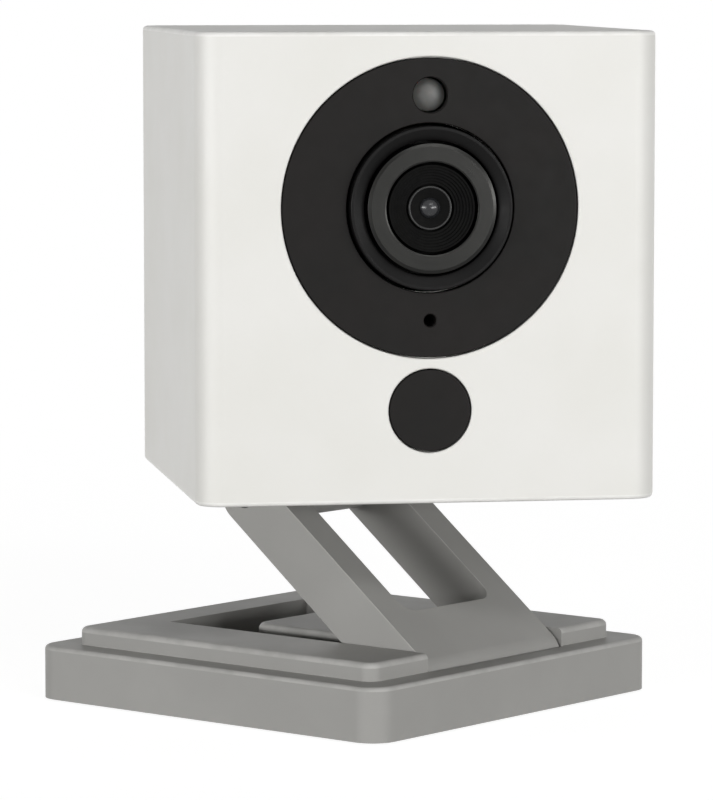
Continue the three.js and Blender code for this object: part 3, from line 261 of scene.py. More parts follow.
@dataclass(frozen=True)
class TurnedMetal(Finish):
    """Metal turned on a lathe, whose grain is fine rings, drawn as coarse as they need to show."""

    axis_at: Triple = (0.0, 0.0, 0.0)  # in metres, in the row frame
    yaw: float = 0.0  # from the row's Y, in radians

    def relief(self, tree: Tree, coords: Socket) -> Socket:
        """Cuts the tool's rings round the axis.

        Args:
            tree: The material's tree.
            coords: Object coordinates.

        Returns:
            The normal socket.
        """
        centred = add_node(tree, "Mapping", {
            "Vector": coords, "Location": self.axis_at, "Rotation": (0.0, 0.0, self.yaw)},
            vector_type="TEXTURE")["Vector"]
        # A wave texture turns by 20 radians in its unit, so a ring stands here every 2 pi grains
        rings = add_node(
            tree, "TexWave", {"Vector": centred, "Scale": per_mm(self.grain) / 20, "Distortion": 0.3},
            wave_type="RINGS", rings_direction="Y", wave_profile="SIN")
        return self.emboss(tree, rings["Fac"])


# ---- modelling by hand


class Axis(Enum):
    """The three directions of a frame."""

    X = 0
    Y = 1
    Z = 2

    @property
    def unit(self) -> Vector:
        """The unit vector along this axis."""
        return Vector(1.0 if i == self.value else 0.0 for i in range(3))


@dataclass(frozen=True)
class Box:
    """The lowest and highest corners of something, in millimetres, in a sub-assembly's frame."""

    low: Vector
    high: Vector

    @property
    def centre(self) -> Vector:
        """The middle of the box."""
        return (self.low + self.high) / 2

    @property
    def size(self) -> Vector:
        """The box's width, depth and height."""
        return self.high - self.low

    @property
    def bar(self) -> Corner:
        """The radius, the lower end and the upper end of a round thing that lies along Y."""
        return self.size.x / 2, self.low.y, self.high.y


def filleted(corners: Sequence[Corner]) -> list[Pair]:
    """Rounds the corners of a closed outline.

    Args:
        corners: Each corner's two coordinates and the radius of its fillet, which may be 0.

    Returns:
        The outline's points, each as two coordinates.
    """
    points: list[Pair] = []
    for i, (x, y, radius) in enumerate(corners):
        if radius <= 0:
            points.append((x, y))
            continue
        here = Vector((x, y))
        before = (Vector(corners[i - 1][:2]) - here).normalized()
        after = (Vector(corners[(i + 1) % len(corners)][:2]) - here).normalized()
        opening = before.angle(after)
        reach = radius / math.tan(opening / 2)
        centre = here + (before + after).normalized() * (radius / math.sin(opening / 2))
        start, end = here + before * reach - centre, here + after * reach - centre
        turn = math.atan2(start.x * end.y - start.y * end.x, start.dot(end))
        steps = max(2, round(abs(math.degrees(turn)) / FILLET_STEP))
        for step in range(steps + 1):
            spoke = Matrix.Rotation(turn * step / steps, 2) @ start
            points.append((centre.x + spoke.x, centre.y + spoke.y))
    return points


def dome(radius: float, rim: float, apex: float) -> list[Corner]:
    """The outline of a shallow dome, from its rim to its apex.

    Args:
        radius: The dome's radius at its rim.
        rim: Where the rim is along the axis.
        apex: Where the apex is along the axis.

    Returns:
        The corners, the last of them on the axis.
    """
    crown = abs(apex - rim)
    ball = (radius * radius + crown * crown) / (2 * crown)
    side = math.copysign(1.0, apex - rim)
    half = math.asin(min(1.0, radius / ball))
    turns = [half * (1 - i / DOME_STEPS) for i in range(DOME_STEPS + 1)]
    return [(ball * math.sin(turn), apex - side * ball * (1 - math.cos(turn)), 0.0) for turn in turns]


def deselect() -> None:
    """Leaves edit mode and deselects everything."""
    if bpy.context.object and bpy.context.object.mode != "OBJECT":
        bpy.ops.object.mode_set(mode="OBJECT")
    bpy.ops.object.select_all(action="DESELECT")


class Piece:
    """A mesh being shaped in its sub-assembly's frame, in millimetres."""

    def __init__(self, name: str) -> None:
        """Takes over the primitive that was just added, under a name."""
        self.thing = bpy.context.object
        self.thing.name = self.thing.data.name = name

    def edit(self, mode: str, action: str = "DESELECT") -> None:
        """Opens the mesh for editing with nothing selected, or with all of it.

        Args:
            mode: VERT, EDGE or FACE.
            action: DESELECT or SELECT.
        """
        deselect()
        self.thing.select_set(True)
        bpy.context.view_layer.objects.active = self.thing
        bpy.ops.object.mode_set(mode="EDIT")
        bpy.ops.mesh.select_mode(type=mode)
        bpy.ops.mesh.select_all(action=action)

    def round_edges(
        self, wanted: Callable[[Vector, Vector], bool] | None, radius: float, segments: int, rubbed_and_highlit: bool,
    ) -> Piece:
        """Rounds the edges whose two ends pass a test, or all that are sharp.

        Args:
            wanted: Says whether an edge between two points is rounded. None stands for the sharp ones.
            radius: The rounding's radius.
            segments: How many faces make the rounding.
            rubbed_and_highlit: Whether the new faces are painted paler, as wear and as a painted highlight.

        Returns:
            This piece.
        """
        self.edit("EDGE")
        mesh = bmesh.from_edit_mesh(self.thing.data)
        flats = {face.normal.to_tuple(PLACES) for face in mesh.faces}
        if wanted:
            for edge in mesh.edges:
                edge.select_set(wanted(edge.verts[0].co, edge.verts[1].co))
            bmesh.update_edit_mesh(self.thing.data)
        else:
            bpy.ops.mesh.edges_select_sharp(sharpness=math.radians(SHARP_ABOVE))
        bpy.ops.mesh.bevel(offset=radius, segments=segments, affect="EDGES", clamp_overlap=True)
        if rubbed_and_highlit:
            # The new rounded faces are marked to be painted paler, as wear and as a painted highlight.
            mesh = bmesh.from_edit_mesh(self.thing.data)
            wear_and_highlight = mesh.faces.layers.float.get(WEAR_AND_HIGHLIGHT) or mesh.faces.layers.float.new(WEAR_AND_HIGHLIGHT)
            for face in mesh.faces:
                if face.select and face.normal.to_tuple(PLACES) not in flats:
                    face[wear_and_highlight] = 1.0
            bmesh.update_edit_mesh(self.thing.data)
        bpy.ops.object.mode_set(mode="OBJECT")
        return self

    def round_along(self, axis: Axis, radius: float, segments: int = 12) -> Piece:
        """Rounds the edges that run along an axis."""
        return self.round_edges(
            lambda a, b: (b - a).cross(axis.unit).length < MERGE, radius, segments, rubbed_and_highlit=False)

    def round_level(self, axis: Axis, level: float, radius: float, segments: int = 5) -> Piece:
        """Rounds the edges that lie at one level along an axis."""
        i = axis.value
        return self.round_edges(
            lambda a, b: max(abs(a[i] - level), abs(b[i] - level)) < MERGE, radius, segments, rubbed_and_highlit=True)

    def ease_edges(self, radius: float, segments: int = 3) -> Piece:
        """Takes the sharpness off every edge that is still sharp."""
        return self.round_edges(None, radius, segments, rubbed_and_highlit=True)

    def combine(self, operation: str, tools: Iterable[Piece]) -> Piece:
        """Joins or cuts this piece with others, which are used up.

        Args:
            operation: UNION or DIFFERENCE.
            tools: The other pieces.

        Returns:
            This piece.
        """
        for tool in tools:
            deselect()
            bpy.context.view_layer.objects.active = self.thing
            modifier = self.thing.modifiers.new(operation.lower(), "BOOLEAN")
            modifier.operation = operation
            modifier.object = tool.thing
            modifier.solver = "EXACT"
            bpy.ops.object.modifier_apply(modifier=modifier.name)
            bpy.data.objects.remove(tool.thing)
            self.edit("VERT", "SELECT")
            bpy.ops.mesh.remove_doubles(threshold=MERGE)
            bpy.ops.mesh.dissolve_degenerate(threshold=MERGE)
            bpy.ops.object.mode_set(mode="OBJECT")
        return self

    def cut(self, *tools: Piece) -> Piece:
        """Cuts other pieces out of this one."""
        return self.combine("DIFFERENCE", tools)

    def fuse(self, *tools: Piece) -> Piece:
        """Joins other pieces to this one."""
        return self.combine("UNION", tools)

    def repeated(self, shifts: Iterable[Triple]) -> Piece:
        """Repeats this piece at several places, as separate bodies of one mesh.

        Args:
            shifts: How far each copy stands from the piece as it is.

        Returns:
            This piece, with all the copies in it.
        """
        twins = []
        for shift in shifts:
            twin = self.thing.copy()
            twin.data = self.thing.data.copy()
            twin.data.transform(Matrix.Translation(Vector(shift)))
            bpy.context.scene.collection.objects.link(twin)
            twins.append(twin)
        name = self.thing.name
        bpy.data.objects.remove(self.thing)
        deselect()
        for twin in twins:
            twin.select_set(True)
        bpy.context.view_layer.objects.active = twins[0]
        bpy.ops.object.join()
        self.thing = twins[0]
        self.thing.name = name
        return self


def block(name: str, low: Triple, high: Triple) -> Piece:
    """Starts from a block between two corners.

    Args:
        name: The piece's name.
        low: The lowest corner.
        high: The highest corner.

    Returns:
        The piece.
    """
    deselect()
    low, high = Vector(low), Vector(high)
    bpy.ops.mesh.primitive_cube_add(size=1, location=(low + high) / 2, scale=high - low)
    bpy.ops.object.transform_apply(location=True, rotation=True, scale=True)
    return Piece(name)


def turned(
    name: str, through: Triple, corners: Sequence[Corner], steps: int = 128, axis: Axis = Axis.Y,
) -> Piece:
    """Spins an outline about an axis.

    Args:
        name: The piece's name.
        through: A point on the spin's axis.
        corners: The closed outline, as radius, place along the axis and fillet.
        steps: How many steps make the full turn.
        axis: The axis's direction, Y or Z.

    Returns:
        The piece.
    """
    deselect()
    outline = filleted(corners)
    if outline[0][0] > MERGE:
        outline.append(outline[0])
    bpy.ops.mesh.primitive_plane_add(size=1)
    bpy.ops.object.mode_set(mode="EDIT")
    bpy.ops.mesh.select_mode(type="VERT")
    bpy.ops.mesh.select_all(action="SELECT")
    bpy.ops.mesh.merge(type="CENTER")
    spots = [Vector((r, 0.0, 0.0)) + axis.unit * along for r, along in outline]
    bpy.ops.transform.translate(value=spots[0])
    for before, after in zip(spots, spots[1:]):
        bpy.ops.mesh.extrude_region_move(TRANSFORM_OT_translate={"value": after - before})
    bpy.ops.mesh.select_all(action="SELECT")
    bpy.ops.mesh.spin(steps=steps, angle=math.tau, center=(0, 0, 0), axis=axis.unit)
    bpy.ops.mesh.select_all(action="SELECT")
    bpy.ops.mesh.remove_doubles(threshold=MERGE)
    bpy.ops.mesh.normals_make_consistent(inside=False)
    shift = Vector(through)
    shift[axis.value] = 0.0
    bpy.ops.transform.translate(value=shift)
    bpy.ops.object.mode_set(mode="OBJECT")
    return Piece(name)


def drill(
    at: Triple, radius: float, mouth: float, end: float, flare: float = 0.0, steps: int = 96,
    axis: Axis = Axis.Y,
) -> Piece:
    """Makes a cutter for a round hole whose mouth is a small 45-degree flare.

    Args:
        at: A point on the hole's axis.
        radius: The hole's radius.
        mouth: Where the hole's mouth is along the axis.
        end: Where the cutter ends along the axis.
        flare: How far the flare reaches.
        steps: How many sides stand for the circle.
        axis: The hole's direction, Y or Z.

    Returns:
        The cutter.
    """
    inward = math.copysign(1.0, end - mouth)
    start = mouth - inward * PAST
    corners = [(0.0, start, 0.0), (radius, start, 0.0), (radius, end, 0.0), (0.0, end, 0.0)]
    if flare > 0:
        corners[1:2] = [(radius + flare + PAST, start, 0.0), (radius, mouth + inward * flare, 0.0)]
    return turned("drill", at, corners, steps, axis)


@dataclass
class Assembly:
    """Pieces that are modelled in one frame and ride on one body."""

    place: Matrix = field(default_factory=Matrix)  # from the frame's own metres to the row frame
    body: str = "base"
    seat_gap: float = 0.3  # the play round a piece that is set in another

    def box(self, name: str) -> Box:
        """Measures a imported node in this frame.

        Args:
            name: The node's name.

        Returns:
            The node's box.
        """
        back = self.place.inverted()
        points = [(back @ vertex.co) / MM for vertex in frame["nodes"][name].data.vertices]
        low = Vector(min(point[axis] for point in points) for axis in range(3))
        high = Vector(max(point[axis] for point in points) for axis in range(3))
        return Box(low, high)

    def finish(self, piece: Piece, look: Finish, slot: str, *nodes: str) -> None:
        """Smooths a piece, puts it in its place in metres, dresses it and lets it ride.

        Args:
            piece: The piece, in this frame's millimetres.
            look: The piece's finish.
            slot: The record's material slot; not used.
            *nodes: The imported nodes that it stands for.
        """
        thing = piece.thing
        piece.edit("VERT", "SELECT")
        bpy.ops.mesh.remove_doubles(threshold=MERGE)
        bpy.ops.mesh.normals_make_consistent(inside=False)
        bpy.ops.object.mode_set(mode="OBJECT")
        bpy.ops.object.shade_smooth_by_angle(angle=math.radians(SMOOTH_BELOW))
        weighted = thing.modifiers.new("weighted", "WEIGHTED_NORMAL")
        weighted.keep_sharp = True
        bpy.ops.object.modifier_apply(modifier=weighted.name)
        thing.matrix_world = self.place @ Matrix.Scale(MM, 4)
        bpy.ops.object.transform_apply(location=True, rotation=True, scale=True)
        thing.data.materials.clear()
        thing.data.materials.append(look.make())
        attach(thing, self.body)
        if nodes:
            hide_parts(*nodes)
        LOG.info("%s: %d faces, rides on %s", thing.name, len(thing.data.polygons), self.body)

    def build_pin(self, node: str, name: str) -> None:
        """Turns a hinge pin with rounded ends.

        Args:
            node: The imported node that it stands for.
            name: The piece's name.
        """
        box, edge = self.box(node), 0.25
        radius, left, right = box.size.z / 2, box.low.y, box.high.y
        pin = turned(name, box.centre, [
            (0, left, 0), (radius, left, edge), (radius, right, edge), (0, right, 0)], steps=48)
        self.finish(pin, ZINC_STEEL, "steel", node)


# ---- the finishes of this camera

# Satin ABS: injection moulded in a finely spark-eroded tool, so it is smooth with a soft sheen
# Its rounded edges are painted paler, as a painted highlight with a little wear.
WHITE_ABS = WornAndHighlitMoulding(
    "moulded_white_abs", "E9E8E4", "E6E5E0", roughness=0.42, spread=0.04, patch=14, grain=0.25, depth=0.0015,
    shader={"IOR": 1.53, "Specular IOR Level": 0.3}, edge_wear_and_highlight_tone="F7F6F3", wear_and_highlight=0.85)
# The same in grey: its edges are painted paler, as wear and as a painted highlight, and its flats pick up faint
# smears
GREY_ABS = WornAndHighlitMoulding(
    "moulded_grey_abs", "A3A29F", "9F9E9B", roughness=0.46, spread=0.03, patch=10, grain=0.3, depth=0.002,
    shader={"IOR": 1.53, "Specular IOR Level": 0.15}, edge_wear_and_highlight_tone="C4C3C0", wear_and_highlight=0.6)
# Cast acrylic, tinted near black and lightly matted, so it shows no sharp reflection
BLACK_ACRYLIC = Finish(
    "matted_black_acrylic", "1A1817", "181716", roughness=0.5, spread=0.05, patch=6, grain=0.2, depth=0.0015,
    shader={"IOR": 1.49, "Specular IOR Level": 0.12})
# Moulded black polycarbonate with a fine satin
BLACK_SATIN = Finish(
    "satin_black_polycarbonate", "0C0B0B", "0A0A0A", roughness=0.42, spread=0.05, patch=4, grain=0.2,
    depth=0.0015, shader={"IOR": 1.58, "Specular IOR Level": 0.1})
# Flat black inside the lens, to swallow stray light
OPTIC_BLACK = Finish(
    "flat_optical_black", "070707", "090908", roughness=0.6, spread=0.08, patch=2, grain=0.15, depth=0.003,
    shader={"Specular IOR Level": 0.06})
# Diffusing polycarbonate: light spreads in it, so it looks milky and soft
FROSTED = Finish(
    "frosted_polycarbonate", "666664", "5E5E5C", roughness=0.48, spread=0.06, patch=1.2, grain=0.12,
    depth=0.001, shader={
        "IOR": 1.58, "Subsurface Weight": 0.15, "Subsurface Scale": 0.0005, "Specular IOR Level": 0.35})
# Polished glass with a coating that takes most of its reflection away
LENS_GLASS = Finish(
    "coated_lens_glass", "262729", "222326", roughness=0.24, spread=0.02, patch=2, grain=1.5, depth=0.0001,
    shader={"IOR": 1.52, "Transmission Weight": 0.15, "Specular IOR Level": 0.4})
# The front element's edge is ground and blackened, and catches a little light
GROUND_RIM = Finish(
    "blackened_ground_glass", "262625", "222222", roughness=0.4, spread=0.06, patch=1, grain=0.1, depth=0.001,
    shader={"IOR": 1.52, "Specular IOR Level": 0.3})
FILTER_GLASS = Finish(
    "coated_filter_glass", "7FB0B8", "86A8C0", roughness=0.05, spread=0.02, patch=3, grain=1.5, depth=0.0002,
    shader={"IOR": 1.52, "Transmission Weight": 0.8})
# Zinc leaves steel grey and a little cloudy
ZINC_STEEL = Finish(
    "zinc_plated_steel", "B4B7BA", "A4A8AC", roughness=0.32, spread=0.08, patch=3, grain=0.15, depth=0.002,
    shader={"Metallic": 1.0})
# The recess floor is the same steel, coloured near black as painted shade in the recess
SHADE_DARKENED_STEEL = Finish(
    "steel_sheet_darkened_as_shade", "2E2D2C", "2A2928", roughness=0.65, spread=0.06, patch=5, grain=0.2, depth=0.004,
    shader={"Specular IOR Level": 0.1})
NICKEL = Finish(
    "nickel_plate", "C6C4BE", "B8B6B0", roughness=0.24, spread=0.07, patch=2.5, grain=0.2, depth=0.0015,
    shader={"Metallic": 1.0})
GOLD_FLASH = Finish(
    "gold_flashed_contact", "D8B45A", "C9A24A", roughness=0.25, spread=0.06, patch=1, grain=0.1, depth=0.001,
    shader={"Metallic": 1.0})
# Solder mask over woven glass: green, with the weave just raised
BOARD_GREEN = Finish(
    "solder_masked_laminate", "1E4A34", "17402C", roughness=0.38, spread=0.06, patch=5, grain=0.5, depth=0.006,
    shader={"IOR": 1.55})
CHIP_EPOXY = Finish(
    "moulded_epoxy", "1B1C1E", "222326", roughness=0.55, spread=0.06, patch=2, grain=0.12, depth=0.003)
ALUMINIUM = Finish(
    "extruded_aluminium", "A9ADB0", "9DA1A5", roughness=0.36, spread=0.07, patch=4, grain=0.25, depth=0.003,
    shader={"Metallic": 1.0})
PAD_RUBBER = Finish(
    "silicone_rubber_sheet", "262626", "2C2B2A", roughness=0.82, spread=0.06, patch=7, grain=0.4, depth=0.012,
    shader={"Specular IOR Level": 0.3})
AMBER_FILM = Finish(
    "polyimide_film", "B5752F", "A96A27", roughness=0.35, spread=0.05, patch=4, grain=0.6, depth=0.003)


# ---- base


@dataclass
class Base(Assembly):
    """The square two-tier base with the arm's recess."""

    lower_tier: float = 6.0
    upper_half: float = 21.65
    lower_corner: float = 3.0
    upper_corner: float = 1.6
    lower_edge: float = 0.45
    upper_edge: float = 0.6
    recess_edge: float = 0.18
    recess_half: float = 12.1
    recess_front: float = 22.05
    recess_back: float = -15.95
    sheet_corner: float = 2.0
    cap_corner: float = 2.0
    cap_edge: float = 0.7
    cap_wall: float = 1.0

    def build(self) -> None:
        """Builds and dresses the base's pieces."""
        self.build_moulding()
        self.build_cap()
        for node, name, look, slot, edge in (
            ("foot_pad", "foot_pad_sheet", PAD_RUBBER, "pad_rubber", 0.1),
            # The recess floor's near-black colour is painted shade.
            ("base_plate", "recess_floor_plate", SHADE_DARKENED_STEEL, "steel", 0.05),
        ):
            box = self.box(node)
            sheet = block(name, box.low, box.high).round_along(Axis.Z, self.sheet_corner, segments=8)
            self.finish(sheet.ease_edges(edge), look, slot, node)

    def build_moulding(self) -> None:
        """Models the two tiers and the recess."""
        shell, floor = self.box("base_shell"), self.box("base_plate")
        step, half = shell.low.z + self.lower_tier, self.upper_half
        lower = block("base_moulding", shell.low, (shell.high.x, shell.high.y, step))
        lower.round_along(Axis.Z, self.lower_corner).round_level(Axis.Z, step, self.lower_edge)
        upper = block("upper_tier", (-half, -half, step - PAST), (half, half, shell.high.z))
        upper.round_along(Axis.Z, self.upper_corner).round_level(Axis.Z, shell.high.z, self.upper_edge)
        recess = block(
            "recess", (self.recess_back, -self.recess_half, shell.low.z - PAST),
            (self.recess_front, self.recess_half, shell.high.z + PAST))
        reach = floor.high.x + self.seat_gap
        pocket = block(
            "pocket", (-reach, -reach, shell.low.z - PAST), (reach, reach, floor.high.z + self.seat_gap))
        pocket.round_along(Axis.Z, self.sheet_corner)
        lower.fuse(upper).cut(recess, pocket).ease_edges(self.recess_edge)
        self.finish(lower, GREY_ABS, "stand_grey", "base_shell")

    def build_cap(self) -> None:
        """Models the magnet's housing in the recess."""
        box, wall = self.box("magnet_housing"), self.cap_wall
        cap = block("magnet_cap", box.low, box.high)
        cap.round_along(Axis.Z, self.cap_corner).round_level(Axis.Z, box.high.z, self.cap_edge, segments=6)
        cap.cut(block(
            "hollow", (box.low.x + wall, box.low.y + wall, box.low.z - PAST),
            (box.high.x - wall, box.high.y - wall, box.high.z - wall)))
        self.finish(cap, GREY_ABS, "stand_grey", "magnet_housing")


# ---- arm and turntable


@dataclass
class Arm(Assembly):
    """The flat folding arm, drawn lying down with its lower axis at the origin."""

    place: Matrix = field(default_factory=arm_place)
    body: str = "arm"
    slot_near: float = -6.75
    leg: float = 4.05
    slot_corner: float = 2.0
    bore: float = 1.5
    edge: float = 0.25

    def build(self) -> None:
        """Builds and dresses the arm and the two hinge pins."""
        box = self.box("arm")
        round_end, inner = box.size.z / 2, box.high.y - self.leg
        arm = block("arm_moulding", box.low, box.high)
        arm.round_along(Axis.Y, round_end - MERGE, segments=24)
        slot = block(
            "slot", (box.low.x - 2 * self.slot_corner, -inner, box.low.z - PAST),
            (self.slot_near, inner, box.high.z + PAST)).round_along(Axis.Z, self.slot_corner)
        arm.cut(slot, *(
            drill((x, 0, 0), self.bore, box.low.y, box.high.y + PAST, steps=48)
            for x in (0.0, box.low.x + round_end)))
        self.finish(arm.ease_edges(self.edge), GREY_ABS, "stand_grey", "arm")
        self.build_pin("upper_pin", "upper_hinge_pin")
        Base().build_pin("lower_pin", "lower_hinge_pin")


@dataclass
class Turntable(Assembly):
    """The disc under the head, with its hub above and its hinge knuckle below."""

    place: Matrix = field(default_factory=turntable_place)
    body: str = "turntable"
    thickness: float = 1.8
    hub_radius: float = 5.6
    hub_edge: float = 0.2
    edge: float = 0.3
    knuckle_radius: float = 3.25
    knuckle_half: float = 7.45
    knuckle_edge: float = 0.2
    swing_gap: float = 0.6
    bore: float = 1.5
    screw_hole: float = 1.6
    screw_depth: float = 3.3

    def build(self) -> None:
        """Builds and dresses the turntable."""
        box, half = self.box("turntable"), self.knuckle_half
        axis = (Vector(joint("top_hinge")["pos_m"]) - Vector(joint("swivel")["pos_m"])) / MM
        under = axis.z + self.knuckle_radius + self.swing_gap
        over, low = under + self.thickness, axis.z - self.knuckle_radius
        disc = turned("turntable_moulding", (0, 0, 0), [
            (0, under, 0), (box.high.x, under, self.edge), (box.high.x, over, self.edge),
            (self.hub_radius, over, self.hub_edge), (self.hub_radius, box.high.z, self.hub_edge),
            (0, box.high.z, 0)], steps=144, axis=Axis.Z)
        lug = block(
            "lug", (axis.x - self.knuckle_radius, -half, low),
            (axis.x + self.knuckle_radius, half, (under + over) / 2))
        lug.round_edges(
            lambda a, b: abs(a.z - low) + abs(b.z - low) < MERGE and abs(b.y - a.y) > half,
            self.knuckle_radius - MERGE, segments=24, rubbed_and_highlit=False)
        top = box.high.z
        disc.fuse(lug.ease_edges(self.knuckle_edge)).cut(
            drill((axis.x, 0, axis.z), self.bore, -half, half + PAST, steps=48),
            drill((0, 0, 0), self.screw_hole, top, top - self.screw_depth, steps=48, axis=Axis.Z))
        self.finish(disc, GREY_ABS, "stand_grey", "turntable")


# ---- head


@dataclass
class Head(Assembly):
    """What the head's groups of pieces share: their frame, their body and a few sizes."""

    place: Matrix = field(default_factory=head_place)
    body: str = "head"
    lens_hole: float = 9.05
    sensor_rise: float = 12.0
    hole_flare: float = 0.1


@dataclass
class Housing(Head):
    """The white cube: a one-piece shell with its back cover."""

    corner: float = 2.85
    edge: float = 0.5
    wall: float = 2.2
    inner_corner: float = 0.65
    floor_top: float = 5.8
    floor_under: float = 4.2
    nest_half: float = 22.15
    nest_top: float = 2.4
    well_radius: float = 18.3
    hub_hole: float = 5.9
    cover_lip: float = 1.0
    lens_height: float = 31.65
    disc_seat: float = 16.1
    window_height: float = 10.0
    window_seat: float = 4.53
    window_hole: float = 3.88
    seat_depth: float = 1.5
    sensor_hole: float = 2.2
    microphone_hole: float = 1.9
    boss_radius: float = 2.2
    boss_root: float = 0.5
    pilot_radius: float = 1.1
    pilot_depth: float = 6.3
    button_hole: float = 2.3
    slot_half: float = 6.0
    slot_deep: float = 0.85
    grille_pitch: float = 2.6
    grille_hole: float = 0.75
    grille_rings: int = 2
    port_margin: float = 0.35
    ledge_width: float = 1.6

    def build(self) -> None:
        """Builds and dresses the shell and the cover."""
        self.build_shell()
        self.build_cover()

    def build_shell(self) -> None:
        """Models the shell: its walls, nest, seats, holes, bosses and ledges."""
        box, cover, sensor = (self.box(name) for name in ("housing_shell", "rear_cover", "sensor_board"))
        shell = block("housing_moulding", box.low, box.high)
        shell.round_along(Axis.Z, self.corner, segments=16)
        shell.round_level(Axis.Z, box.high.z, self.edge).round_level(Axis.Z, box.low.z, self.edge)
        half, lip, nest_half = box.high.x - self.wall, self.cover_lip, self.nest_half
        inside = block(
            "inside", (-half, box.low.y + self.wall, self.floor_top),
            (half, box.high.y + PAST, box.high.z - self.wall))
        inside.round_along(Axis.Z, self.inner_corner, segments=6)
        seat_y = cover.low.y - self.seat_gap
        cover_seat = block(
            "cover_seat", (box.low.x + lip, seat_y, box.low.z + lip),
            (box.high.x - lip, box.high.y + PAST, box.high.z - lip)).round_along(Axis.Y, self.corner - lip)
        nest = block(
            "nest", (-nest_half, -nest_half, box.low.z - PAST), (nest_half, nest_half, self.nest_top))
        shell.cut(inside, cover_seat, nest, *(
            drill((0, 0, 0), radius, box.low.z, top, axis=Axis.Z) for radius, top in (
                (self.well_radius, self.floor_under), (self.hub_hole, self.floor_top + PAST))))
        centres = [self.box(f"board_screw_{i}").centre for i in (1, 2, 3, 4)]
        root, boss_back = box.low.y + self.wall + self.boss_root, sensor.low.y - self.seat_gap
        shell.fuse(*(drill(centre, self.boss_radius, root, boss_back, steps=32) for centre in centres))
        board = self.box("main_board")
        ledge_top, ledge_back = board.low.z - self.seat_gap, seat_y - self.wall
        for side in (-1, 1):
            left, right = sorted((side * (half - self.ledge_width), side * (half + self.wall / 2)))
            shell.fuse(block(
                "ledge", (left, board.low.y, ledge_top - self.wall / 2), (right, ledge_back, ledge_top)))
        pilot_end = boss_back - self.pilot_depth
        shell.cut(*self.cutters(), *(
            drill(centre, self.pilot_radius, boss_back, pilot_end, steps=24) for centre in centres))
        self.finish(shell, WHITE_ABS, "housing_white", "housing_shell")

    def cutters(self) -> list[Piece]:
        """Makes cutters for the face's seats and holes, the card slot and the button's hole.

        Returns:
            The cutters.
        """
        face = self.box("housing_shell").low.y
        seat, through, flare = face + self.seat_depth, face + self.wall + PAST, self.hole_flare
        lens, eye, above, below = ((0, 0, height) for height in (
            self.lens_height, self.window_height, self.lens_height + self.sensor_rise,
            self.lens_height - self.sensor_rise))
        holes = [drill(*hole) for hole in (
            (lens, self.disc_seat, face, seat, flare, 192), (lens, self.lens_hole, face, through),
            (eye, self.window_seat, face, seat, flare, 128), (eye, self.window_hole, face, through),
            (above, self.sensor_hole, face, through, 0.0, 64),
            (below, self.microphone_hole, face, through, 0.0, 64))]
        card, button = self.box("card_socket").centre, self.box("setup_button").centre
        top = self.floor_top + PAST
        slot = block(
            "slot", (-self.slot_half, card.y - self.slot_deep, self.nest_top - PAST),
            (self.slot_half, card.y + self.slot_deep, top))
        return [*holes, slot, drill(button, self.button_hole, self.nest_top, top, flare, 64, Axis.Z)]

    def build_cover(self) -> None:
        """Models the back cover: its grille and port openings."""
        box = self.box("rear_cover")
        near, far, flare = box.high.y, box.low.y - PAST, self.hole_flare
        cover = block("back_cover", box.low, box.high)
        cover.round_along(Axis.Y, self.corner - self.cover_lip - self.seat_gap, segments=10)
        cover.round_level(Axis.Y, near, self.edge / 2, segments=4)
        first = drill(self.box("speaker").centre, self.grille_hole, near, far, flare, 24)
        rings, pitch, row = self.grille_rings, self.grille_pitch, math.sin(math.pi / 3)
        cover.cut(first.repeated([
            ((i - (count - 1) / 2) * pitch, 0.0, line * pitch * row)
            for line in range(-rings, rings + 1)
            for count in [2 * rings + 1 - abs(line)] for i in range(count)]))
        margin = self.port_margin
        for node, corner in (("usb_a_socket", 0.5), ("micro_usb_socket", 0.7)):
            port = self.box(node)
            opening = block(
                "opening", (port.low.x - margin, far, port.low.z - margin),
                (port.high.x + margin, near + PAST, port.high.z + margin))
            cover.cut(opening.round_along(Axis.Y, corner, segments=6))
        light = self.box("status_light")
        cover.cut(drill(light.centre, light.size.x / 2 + self.seat_gap, near, far, flare, 48))
        self.finish(cover, WHITE_ABS, "cover_white", "rear_cover")


